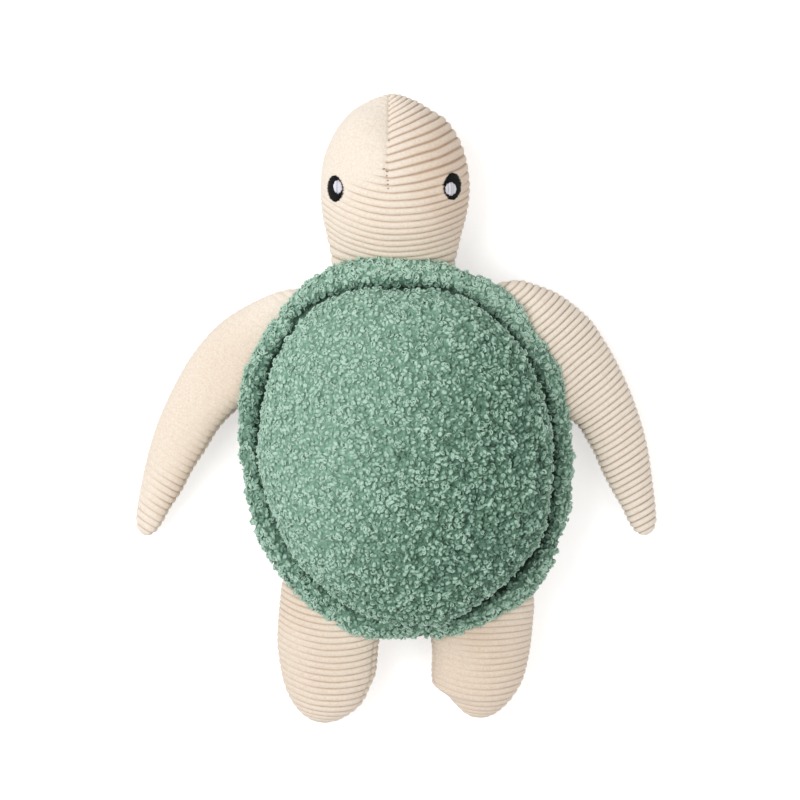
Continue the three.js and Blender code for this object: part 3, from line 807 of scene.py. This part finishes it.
def rimGrid():
    angle = 2 * math.pi * np.arange(shell["rimSteps"]) / shell["rimSteps"]
    inner = aroundTable(shell["domeEdge"], angle) + aroundTable(shell["creaseGap"], angle)
    outer = aroundTable(shell["rimOuter"], angle) - shell["pile"]
    lift = bumpsAt(angle, rimLifts)
    half = (outer - inner) / 2
    radius = (outer + inner) / 2
    path = np.column_stack([radius * np.cos(angle), radius * np.sin(angle), shell["rimHeight"] + lift])
    swell = 1 + uneven(path, shell["rimSwell"], 4)
    for place, depth, width in shell["pinches"]:
        swell = swell - depth * np.exp(-(offAngle(angle, place) / width) ** 2)
    ahead = np.roll(path, -1, 0) - np.roll(path, 1, 0)
    ahead[:, 2] = 0
    outward = np.cross(ahead, (0, 0, 1))
    outward /= np.linalg.norm(outward, axis=1)[:, None]
    turn = 2 * math.pi * np.arange(shell["rimSides"]) / shell["rimSides"]
    out = (half * swell)[:, None] * np.cos(turn)[None, :]
    tall = shell["rimRound"][0] + shell["rimRound"][1] * half
    grid = path[:, None, :] + outward[:, None, :] * out[..., None]
    grid[..., 2] += (tall * swell)[:, None] * np.sin(turn)[None, :]
    return grid


def domeGrid():
    angle = 2 * math.pi * np.arange(shell["domeSteps"]) / shell["domeSteps"]
    wide = aroundTable(shell["domeEdge"], angle)
    crease = wide - shell["creaseInset"]
    rings, heights = [], []
    reach = crease + 2 * shell["creaseInset"] + aroundTable(shell["creaseGap"], angle)
    lift, rise = bumpsAt(angle, rimLifts), bumpsAt(angle, creaseRises)
    floor, low = shell["creaseFloor"] + lift + rise, shell["creaseTop"] + lift * 0.4 + rise
    start = shell["rimHeight"] - 2 + lift
    for share in np.linspace(0, 1, shell["creaseRings"])[:-1]:
        inward, upward = min(share * 2, 1), smoothStep(share, 0.5, 1)
        rings.append(reach + (crease - reach) * inward)
        heights.append(start + (floor - start) * math.sqrt(inward) + (low - floor) * upward)
    for turn in np.linspace(0, math.pi / 2, shell["wallRings"])[:-1]:
        rings.append(crease + shell["creaseInset"] * math.sin(turn))
        heights.append(shell["widest"] - (shell["widest"] - low) * math.cos(turn))
    for turn in np.linspace(0, math.pi / 2, shell["domeRings"])[:-1]:
        rings.append(wide * math.cos(turn) ** shell["crownPower"])
        height = shell["widest"] + (shell["top"] - shell["widest"]) * math.sin(turn)
        heights.append(np.full(len(angle), height))
    radius, z = np.array(rings), np.array(heights)
    grid = np.empty((len(z), len(angle), 3))
    grid[..., 0] = radius * np.cos(angle)
    grid[..., 1] = radius * np.sin(angle)
    grid[..., 2] = z
    return grid


# Boucle: cloth with rounded tufts, a small knot of wool on each, and fine curls of yarn over the knots

tufts = {
    "gap": 1.66,                 # at least this far apart
    "width": (0.65, 1.0),
    "length": (0.85, 1.7),
    "height": (0.7, 1.1),
    "lumpiness": 0.6,
    "kinds": 8,
    "clump": (3.6, 4.7, 4.2),    # size of the clumps that the tufts form
    "clumpHeight": 1.7,
    "gather": 0.15,              # how far the tufts of a clump draw together
    "swell": (4.4, 1.5),         # a slower unevenness: size, height
    "curly": (1.5, 0.5),         # size and height of the cloth's own unevenness between them
    "flatPaintedLight": 0.5,            # painted light, paler where the pile lies flat
    "seed": 7,
    "apart": 58.5,               # keeps the cells of the clumps clear of the origin
    "layFlat": 0.45,             # the share of its height that a tuft loses where it lies flat
    "sizes": (0.84, 0.22),       # of its size, what a tuft has in a gap and what a clump adds
    "lean": 0.4,                 # radians at most
    "lift": 0.1,
    "clumpEdge": 1.5,            # how fast a clump rises out of its gap
    "clumpDatum": 0.55,          # the share that lies at the cloth's own height
    "footLevel": 0.2,            # the pile's level at a tuft's foot
    "levelHeight": 3.4,          # what the level needs to rise by 1
}
pileLevel = {"base": 0.12, "clump": 0.14, "flat": 0.36, "curly": 0.2}     # of the cloth under the tufts; clump, flat and curly add painted light
# painted shade in the crease
creaseShade = {"least": 0.45, "more": 0.55, "angle": 312, "spread": 36, "below": 8, "above": 2}
# how far the rim's pile lies flat and is painted paler
rimLayAndPaintedLight = {"behind": 0.4, "more": 0.45, "from": 30, "full": 85}
# how far the dome's pile lies flat and is painted lighter
domeLayAndPaintedLight = {"most": 0.85, "forward": 0.35, "right": 0.85, "from": -40, "full": 45,
           "low": 0.6, "lowUpTo": 48, "lowEnds": 56}
curlLook = {
    "yarn": 0.34,                # radius of the yarn
    "sides": 4,
    "arcs": [(0.66, 6, 260), (0.52, 6, 300), (0.92, 6, 220)],    # radius, steps, degrees
    "rise": 0.5,                 # how far an arc climbs sideways over its length
}


def modelKnot(kind):
    bpy.ops.object.select_all(action="DESELECT")
    bpy.ops.mesh.primitive_uv_sphere_add(segments=8, ring_count=6, radius=1)
    points, faces = takeShape(bpy.context.object)
    swell = 1 + tufts["lumpiness"] * ripples(points, 0.9, 20 + kind)
    return points * swell[:, None], faces


def modelCurl(radius, steps, degrees):
    bpy.ops.object.select_all(action="DESELECT")
    low = math.radians(90 - degrees / 2)
    bpy.ops.mesh.primitive_circle_add(vertices=curlLook["sides"], radius=curlLook["yarn"], fill_type="NGON",
                                      location=(radius * math.cos(low), radius * math.sin(low), 0),
                                      rotation=(math.pi / 2, 0, low))
    curl = bpy.context.object
    bpy.ops.object.transform_apply()
    bpy.ops.object.mode_set(mode="EDIT")
    bpy.ops.mesh.select_all(action="SELECT")
    bpy.ops.mesh.spin(steps=steps, angle=-math.radians(degrees), center=(0, 0, 0), axis=(0, 0, 1))
    bpy.ops.mesh.select_all(action="SELECT")
    bpy.ops.mesh.remove_doubles(threshold=0.001)
    bpy.ops.mesh.normals_make_consistent(inside=False)
    bpy.ops.object.mode_set(mode="OBJECT")
    points, faces = takeShape(curl)
    points[:, 2] += curlLook["rise"] * (np.arctan2(points[:, 0], points[:, 1] + 0.4)) / math.pi
    return points, faces


def spreadPoints(grid, normals, gap, seed, closedRows):  # seeded places on a grid, kept a gap apart
    a = grid if closedRows else grid[:-1]
    b = np.roll(grid, -1, 0) if closedRows else grid[1:]
    area = np.linalg.norm(np.cross(np.roll(a, -1, 1) - a, b - a), axis=2)
    rng = np.random.default_rng(seed)
    count = int(area.sum() / (gap * gap) * 5)
    cell = rng.choice(area.size, count, p=(area / area.sum()).reshape(-1))
    i, j = np.divmod(cell, area.shape[1])
    u, v = rng.random(count)[:, None], rng.random(count)[:, None]
    i2, j2 = (i + 1) % len(grid), (j + 1) % grid.shape[1]
    spots = (grid[i, j] * (1 - u) * (1 - v) + grid[i2, j] * u * (1 - v)
             + grid[i, j2] * (1 - u) * v + grid[i2, j2] * u * v)
    taken, kept = {}, []
    for k, p in enumerate(spots):
        home = tuple((p // gap).astype(int))
        near = (taken.get((home[0] + x, home[1] + y, home[2] + z), ())
                for x in (-1, 0, 1) for y in (-1, 0, 1) for z in (-1, 0, 1))
        if all(np.dot(p - q, p - q) >= gap * gap for group in near for q in group):
            taken.setdefault(home, []).append(p)
            kept.append(k)
    return spots[kept], normals[i, j][kept]


class Pile:  # collects shapes into one mesh
    def __init__(self):
        self.points, self.faces, self.high, self.tint, self.count = [], [], [], [], 0

    def add(self, shape, axes, place, ground, up, tint, paintedLight, openness):
        moved = shape[0] @ axes + place
        self.points.append(moved)
        self.faces += [[v + self.count for v in face] for face in shape[1]]
        # painted shade low in the pile and painted light high on the tufts, plus painted light where the
        # pile lies flat, dimmed by openness
        self.high.append(np.clip(
            tufts["footLevel"] + paintedLight + (moved - ground) @ up / tufts["levelHeight"], 0, 1) * openness)
        self.tint.append(np.full(len(moved), tint))
        self.count += len(moved)

    def piece(self, name):
        layers = {"pile": np.concatenate(self.high), "tint": np.concatenate(self.tint)}
        made = newPiece(name, np.vstack(self.points), self.faces, "green_boucle", layers)
        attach(made, "torso")


def turnedAxes(up, rng, lean):  # two sideways axes and a leaning upward one
    side = np.cross(up, rng.normal(size=3))
    side /= np.linalg.norm(side)
    third = np.cross(up, side)
    tilt = rng.uniform(0, lean)
    raised = up * math.cos(tilt) + third * math.sin(tilt)
    return np.array([side, np.cross(raised, side), raised])


def layTufts(name, spots, directions, seed, flatAndPaintedLight, openness, pieces, curlsEach, size):
    rng = np.random.default_rng(seed)
    knots = [modelKnot(kind) for kind in range(tufts["kinds"])]
    curls = [modelCurl(*arc) for arc in curlLook["arcs"]]
    clump, share, middles = clumpsAt(spots)
    aside = (middles - spots) * tufts["gather"]
    aside -= directions * (aside * directions).sum(1)[:, None]
    for part in range(pieces):
        pile = Pile()
        for k in range(part, len(spots), pieces):
            up = directions[k] / np.linalg.norm(directions[k])
            flat = flatAndPaintedLight(spots[k])
            tint = rng.random()
            full = size * (tufts["sizes"][0] + tufts["sizes"][1] * share[k])
            width = np.array([rng.uniform(*tufts["width"]), rng.uniform(*tufts["length"])]) * full
            low = 1 - tufts["layFlat"] * flat
            tall = rng.uniform(*tufts["height"]) * low * full
            axes = turnedAxes(up, rng, tufts["lean"]) * np.array([width[0], width[1], tall])[:, None]
            place = spots[k] + aside[k] + up * (clump[k] * low + tufts["lift"])
            # painted light where the pile lies flat; openness adds painted shade
            paintedLight = flat * tufts["flatPaintedLight"]
            pile.add(knots[rng.integers(len(knots))], axes, place, spots[k], up, tint, paintedLight, openness[k])
            for _ in range(rng.poisson(curlsEach * (0.4 + 0.7 * share[k]))):
                lean = rng.normal(size=3)
                lean = lean / np.linalg.norm(lean) + up * 0.9
                lean /= np.linalg.norm(lean)
                side = 0.78 * width.mean()
                reach = lean * side + up * ((lean @ up) * (tall - side))
                standing = turnedAxes(lean, rng, 1.3)[[0, 2, 1]] * rng.uniform(0.8, 1.25) * size
                pile.add(curls[rng.integers(len(curls))], standing, place + reach, spots[k], up,
                         min(1, tint * 0.6 + 0.4), paintedLight, openness[k])
        pile.piece(name + "_tufts_" + "abcdef"[part])


def clumpsAt(points):  # how high the pile stands, 0 to 1 from gap to clump, and the middle of the clump
    points = np.asarray(points)
    scaled = points.reshape(-1, 3) / tufts["clump"] + tufts["apart"]
    found = [noise.voronoi(Vector(p)) for p in scaled]
    near = np.array([f[0][:2] for f in found])
    middles = (np.array([f[1][0] for f in found]) - tufts["apart"]) * tufts["clump"]
    inside = np.clip((near[:, 1] - near[:, 0]) * tufts["clumpEdge"], 0, 1)
    share = np.sqrt(1 - (1 - inside) ** 2).reshape(points.shape[:-1])
    high = (share - tufts["clumpDatum"]) * tufts["clumpHeight"] + uneven(points, tufts["swell"], 9)
    return high, share, middles.reshape(points.shape)


def boucleCloth(name, grid, normals, faces, poles, node, flatAndPaintedLight, openness):
    clump, share, _ = clumpsAt(grid)
    flat = flatAndPaintedLight(grid)
    curly = ripples(grid, tufts["curly"][0], 6)
    points = grid + normals * (clump * (1 - tufts["layFlat"] * flat) + curly * tufts["curly"][1])[..., None]
    level = pileLevel
    # painted light on clumps, flat pile and ripple crests, painted shade where openness is low
    shade = level["base"] + share * level["clump"] + flat * level["flat"] + curly * level["curly"]
    shade = shade * openness
    layers = {"pile": np.append(np.clip(shade, 0, 1).reshape(-1), np.full(len(poles), 0.3)),
              "tint": np.full(clump.size + len(poles), 0.5)}
    cloth = newPiece(name, np.vstack([points.reshape(-1, 3), poles]), faces, "green_boucle", layers)
    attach(cloth, "torso")
    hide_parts(node)


def domeOpenness(place):  # painted shade in the crease, most where it gapes
    crease = creaseShade
    away = offAngle(np.arctan2(place[..., 1], place[..., 0]), crease["angle"]) / crease["spread"]
    shade = crease["least"] + crease["more"] * np.exp(-away ** 2)
    low, high = shell["widest"] - crease["below"], shell["widest"] + crease["above"]
    return 1 - (1 - smoothStep(place[..., 2], low, high)) * shade


def rimFlatAndPaintedLight(place):  # the pile lies flatter, and is painted palest, over the neck
    forward = smoothStep(np.asarray(place)[..., 1], rimLayAndPaintedLight["from"], rimLayAndPaintedLight["full"])
    return rimLayAndPaintedLight["behind"] + rimLayAndPaintedLight["more"] * forward


def domeFlatAndPaintedLight(place):  # the pile lies flatter, and is painted lighter, towards the upper left and low down
    place = np.asarray(place)
    across = place[..., 1] * domeLayAndPaintedLight["forward"] - place[..., 0] * domeLayAndPaintedLight["right"]
    flat = domeLayAndPaintedLight["most"] * smoothStep(across, domeLayAndPaintedLight["from"], domeLayAndPaintedLight["full"])
    low = 1 - smoothStep(place[..., 2], domeLayAndPaintedLight["lowUpTo"], domeLayAndPaintedLight["lowEnds"])
    return np.maximum(flat, domeLayAndPaintedLight["low"] * low)


rimSurface = rimGrid()
rimNormals = -gridNormals(rimSurface, closedRows=True)
if np.dot(rimNormals[0, 0], (1, 0, 0)) < 0:
    rimNormals = -rimNormals
rimFaces = gridFaces(len(rimSurface), shell["rimSides"], closedRows=True)
rimTurn = 2 * math.pi * np.arange(shell["rimSides"]) / shell["rimSides"]
rimShade = 0.3 + 0.7 * smoothStep(np.cos(rimTurn), -1.1, 0)[None, :]     # painted shade, darker on the crease's side
boucleCloth("rim_roll", rimSurface, rimNormals, rimFaces, np.empty((0, 3)), "shell_rim", rimFlatAndPaintedLight,
            rimShade)
rimSpots, rimDirections = spreadPoints(rimSurface, rimNormals, tufts["gap"], tufts["seed"], True)
towardDome = -(rimDirections[:, :2] * rimSpots[:, :2]).sum(1) / np.linalg.norm(rimSpots[:, :2], axis=1)
seen = towardDome < 0.75
rimSpots, rimDirections = rimSpots[seen], rimDirections[seen]
# painted shade on the rim's tufts that face the dome
rimOpen = 1 - 0.6 * smoothStep(towardDome[seen], 0, 0.75)
layTufts("rim", rimSpots, rimDirections, tufts["seed"] + 1, rimFlatAndPaintedLight, rimOpen, 2, 1.5, 1.2)
print("rim made", len(rimSpots), "tufts")

domeSurface = domeGrid()
domeNormals = gridNormals(domeSurface)
if domeNormals[-20, 0, 2] < 0:
    domeNormals = -domeNormals
domePoles = np.array([[0, 0, shell["lowest"]], [0, 0, shell["top"]]])
domeFaces = gridFaces(len(domeSurface), shell["domeSteps"], poles=True)
# the dome's cloth takes painted shade in the crease
boucleCloth("dome_cloth", domeSurface, domeNormals, domeFaces, domePoles, "shell_dome", domeFlatAndPaintedLight,
            domeOpenness(domeSurface))
domeSpots, domeDirections = spreadPoints(domeSurface[shell["tuftsFrom"]:], domeNormals[shell["tuftsFrom"]:],
                                         tufts["gap"], tufts["seed"] + 2, False)
# painted shade in the crease, on the tufts
domeOpen = domeOpenness(domeSpots)
layTufts("dome", domeSpots, domeDirections, tufts["seed"] + 3, domeFlatAndPaintedLight, domeOpen, 4, 0.8, 1.0)
print("dome made", len(domeSpots), "tufts")


# Belly: corduroy across, rows along the wales

belly = {
    "half": (73.3, 85.8),
    "exponent": 2.2,
    "top": 24.5,
    "squareness": 2.6,
    "pitch": 3.4,
    "columns": 72,
    "samplesPerWale": 9,
    "rounding": 0.985,           # of the quarter turn that spaces the rows
    "rowMix": (0.6, 0.4),        # rows that crowd to the ends, and even rows
    "thickness": 1.5,
}


def makeBelly():
    rows = int(2 * belly["half"][1] / belly["pitch"] * belly["samplesPerWale"])
    even, quarter = np.linspace(-1, 1, rows), belly["rounding"]
    v = np.sin(even * math.pi / 2 * quarter) / math.sin(math.pi / 2 * quarter)
    v = belly["rowMix"][0] * v + belly["rowMix"][1] * even
    u = np.sin(np.linspace(-1, 1, belly["columns"]) * math.pi / 2)
    y = np.repeat((v * belly["half"][1])[:, None], belly["columns"], 1)
    reach = np.maximum(1 - np.abs(v) ** belly["exponent"], 0) ** (1 / belly["exponent"])
    x = belly["half"][0] * np.maximum(reach, 0.02)[:, None] * u[None, :]
    e, k = belly["exponent"], belly["squareness"]
    share = (np.abs(x / belly["half"][0]) ** e + np.abs(y / belly["half"][1]) ** e) ** (1 / e)
    share = np.minimum(share, 1)
    z = belly["top"] - (belly["top"] + 0.5) * (1 - share ** k) ** (1 / k)
    ridge = waleShape(y / belly["pitch"])
    z = settle(z - (ridge - corduroyCloth["datum"]) * corduroyCloth["ridgeHeight"])
    points = np.stack([x, y, z], -1).reshape(-1, 3)
    c = belly["columns"]
    faces = [[i * c + j, (i + 1) * c + j, (i + 1) * c + j + 1, i * c + j + 1]
             for i in range(rows - 1) for j in range(c - 1)]
    piece = newPiece("belly_cloth", points, faces, "cream_corduroy",
                     # an even share of painted shade over the belly
                     {"ridge": ridge.reshape(-1), "warm": np.full(ridge.size, 0.3)})
    thick = piece.modifiers.new("thickness", "SOLIDIFY")
    thick.thickness = belly["thickness"] * mm
    thick.offset = -1
    bpy.context.view_layer.objects.active = piece
    bpy.ops.object.modifier_apply(modifier=thick.name)
    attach(piece, "torso")
    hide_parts("belly_panel")


makeBelly()

coreGrid = domeGrid()[shell["creaseRings"] - 1::4, ::10]
coreOut = gridNormals(coreGrid) * np.sign(gridNormals(coreGrid)[-5, 0, 2])
coreGrid = coreGrid + coreOut * (uneven(coreGrid, stuffing["coreLumps"], 8) - stuffing["coreGap"])[..., None]
corePoles = np.array([[0, 0, stuffing["coreLow"]], [0, 0, shell["top"] - stuffing["coreGap"]]])
waddingPiece("body_wadding", np.vstack([coreGrid.reshape(-1, 3), corePoles]),
             gridFaces(len(coreGrid), coreGrid.shape[1], poles=True), "torso", "body_filling")
print("belly and stuffing made")


# Squeaker: the moulded parts keep their own shape

for nodeName, finishName in (("squeaker_base", "squeaker_plastic"), ("squeaker_bellows", "squeaker_plastic"),
                             ("squeaker_top", "squeaker_plastic"), ("squeaker_reed", "reed_plastic")):
    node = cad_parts[nodeName]
    node.data.materials.clear()
    node.data.materials.append(materials[finishName])


# Eyes: satin stitches laid side by side over the head

eyes = {
    "left": {"spot": (-34.0, 132.8), "radius": (6.0, 6.2), "middle": (2.9, 1.1), "middleRadius": (3.3, 2.6)},
    "right": {"spot": (23.4, 134.2), "radius": (6.3, 6.3), "middle": (-2.2, -1.1),
              "middleRadius": (3.15, 3.3)},
}
stitchLook = {"width": 0.5, "pitch": 0.36, "jag": 0.35, "segments": 8, "sides": 6, "seed": 11,
              "arch": 0.25, "wobble": 0.12,
              "ring": (0.12, 0.1), "light": (1.5, 0.62)}         # heading, and lift over the cloth


def modelStitch():  # a thread of unit length, rounded at both ends
    bpy.ops.object.select_all(action="DESELECT")
    bpy.ops.mesh.primitive_cylinder_add(vertices=stitchLook["sides"], radius=0.5, depth=1.0,
                                        end_fill_type="TRIFAN", rotation=(0, math.pi / 2, 0))
    stitch = bpy.context.object
    bpy.ops.object.transform_apply()
    bpy.ops.object.mode_set(mode="EDIT")
    for cut in np.linspace(-0.5, 0.5, stitchLook["segments"] + 1)[1:-1]:
        bpy.ops.mesh.select_all(action="SELECT")
        bpy.ops.mesh.bisect(plane_co=(cut, 0, 0), plane_no=(1, 0, 0))
    bpy.ops.object.mode_set(mode="OBJECT")
    points, faces = takeShape(stitch)
    drawn = np.sqrt(np.maximum(1 - np.abs(points[:, 0] * 2) ** 5, 0.12))
    points[:, 1:] *= drawn[:, None]
    return points, faces


def onSurface(tree, centre, axes, a, b):
    e1, e2, n = axes
    start = centre + e1 * a + e2 * b + n * 20
    hit = tree.ray_cast(Vector(start * mm), Vector(-n))[0]
    return np.array(hit) / mm if hit else centre + e1 * a + e2 * b


def satinDisc(name, finish, node, centre, axes, radius, shift, lie, rng):
    base, shape = modelStitch()
    tree = coverTrees["head"]
    points, faces, tint = [], [], []
    count = 0
    heading, lift = lie
    c, s = math.cos(heading), math.sin(heading)
    for row in np.arange(-radius[1], radius[1] + 0.01, stitchLook["pitch"]):
        half = radius[0] * math.sqrt(max(0, 1 - (row / (radius[1] + 0.15)) ** 2))
        half = half + rng.uniform(-1, 1) * stitchLook["jag"]
        if half < 0.5:
            continue
        shade = rng.random()
        path = []
        for place in base[:, 0]:
            a, b = place * 2 * half, row + stitchLook["wobble"] * math.sin(place * 5)
            path.append((round(shift[0] + a * c - b * s, 3), round(shift[1] + a * s + b * c, 3)))
        found = {spot: onSurface(tree, centre, axes, *spot) for spot in set(path)}
        ground = np.array([found[spot] for spot in path])
        across = axes[0] * -s + axes[1] * c
        arch = stitchLook["arch"] * (1 - (base[:, 0] * 2) ** 2)
        moved = (ground + np.outer(base[:, 1] * stitchLook["width"], across)
                 + np.outer(base[:, 2] * stitchLook["width"] * 0.9 + lift + arch, axes[2]))
        points.append(moved)
        faces += [[v + count for v in f] for f in shape]
        tint.append(np.full(len(base), shade))
        count += len(base)
    piece = newPiece(name, np.vstack(points), faces, finish, {"tint": np.concatenate(tint)})
    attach(piece, "head")
    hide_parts(node)


def makeEye(side, eye, rng):
    tree = coverTrees["head"]
    spot = Vector((eye["spot"][0] * mm, eye["spot"][1] * mm, 0.2))
    hits = []
    for dx, dy in ((0, 0), (-4, 0), (4, 0), (0, -4), (0, 4)):
        hit = tree.ray_cast(spot + Vector((dx * mm, dy * mm, 0)), Vector((0, 0, -1)))[0]
        hits.append(np.array(hit) / mm)
    normal = np.cross(hits[2] - hits[1], hits[4] - hits[3])
    normal /= np.linalg.norm(normal)
    forward = np.array([0, 1.0, 0]) - normal * normal[1]
    forward /= np.linalg.norm(forward)
    axes = (np.cross(forward, normal), forward, normal)
    satinDisc(side + "_eye_threads", "black_thread", side + "_eye_ring", hits[0], axes, eye["radius"],
              (0, 0), stitchLook["ring"], rng)
    satinDisc(side + "_eye_light", "pale_thread", side + "_eye_middle", hits[0], axes, eye["middleRadius"],
              eye["middle"], stitchLook["light"], rng)


def makeDartStitches():
    base, shape = modelStitch()
    points, faces = [], []
    for x, y, length, heading in dartSeam["stitches"]:
        along = np.array([math.cos(heading), math.sin(heading), 0])
        aside = np.array([-math.sin(heading), math.cos(heading), 0])
        middle, axes = np.array([x, y, 60.0]), (along, aside, np.array([0, 0, 1.0]))
        ground = np.array([onSurface(coverTrees["head"], middle, axes, a * length, 0) for a in base[:, 0]])
        faces += [[v + len(points) * len(base) for v in face] for face in shape]
        points.append(ground + np.outer(base[:, 1] * dartSeam["thread"], aside)
                      + np.outer(base[:, 2] * dartSeam["thread"] + dartSeam["stitchLift"], axes[2]))
    made = newPiece("dart_stitches", np.vstack(points), faces, "dart_thread",
                    {"tint": np.full(len(points) * len(base), 0.4)})
    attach(made, "head")


makeDartStitches()
eyeRandom = np.random.default_rng(stitchLook["seed"])
for sideName, eyeShape in eyes.items():
    makeEye(sideName, eyeShape, eyeRandom)
print("eyes stitched")


# Floor and background: plain and white, with the toy's shadow kept

backdrop = {"size": 6000, "cloth": 0.85, "glow": 0.48}


def makeStage():
    bpy.ops.object.select_all(action="DESELECT")
    bpy.ops.mesh.primitive_plane_add(size=backdrop["size"] * mm)
    floor = bpy.context.object
    floor.name = "floor"
    finish = Finish("floor_paper")
    grey = backdrop["cloth"]
    finish.surface(Base_Color=(grey, grey, grey, 1), Roughness=0.9, Specular_IOR_Level=0.0)
    glow = finish.node("ShaderNodeEmission", {}, {"Color": (1, 1, 1, 1), "Strength": backdrop["glow"]})
    seen = finish.node("ShaderNodeLightPath", output="Is Camera Ray")
    share = finish.node("ShaderNodeMixShader", {}, {0: seen, 2: glow})
    both = finish.node("ShaderNodeAddShader", {}, {1: glow})
    finish.tree.links.new(finish.shader.outputs[0], finish.tree.nodes["Mix Shader"].inputs[1])
    finish.tree.links.new(finish.shader.outputs[0], both.socket.node.inputs[0])
    finish.tree.links.new(both.socket, finish.tree.nodes["Mix Shader"].inputs[2])
    finish.tree.links.new(share.socket, finish.tree.nodes["Material Output"].inputs["Surface"])
    floor.data.materials.append(finish.material)
    world = bpy.data.worlds.new("studio")
    world.use_nodes = True
    bpy.context.scene.world = world
    tree = world.node_tree
    background = tree.nodes["Background"]
    path = tree.nodes.new("ShaderNodeLightPath")
    level = tree.nodes.new("ShaderNodeMapRange")
    tree.links.new(path.outputs["Is Camera Ray"], level.inputs["Value"])
    level.inputs["To Min"].default_value = lights["surround"]
    level.inputs["To Max"].default_value = 1.0
    background.inputs["Color"].default_value = (1, 1, 1, 1)
    tree.links.new(level.outputs[0], background.inputs["Strength"])


makeStage()
print("stage made")
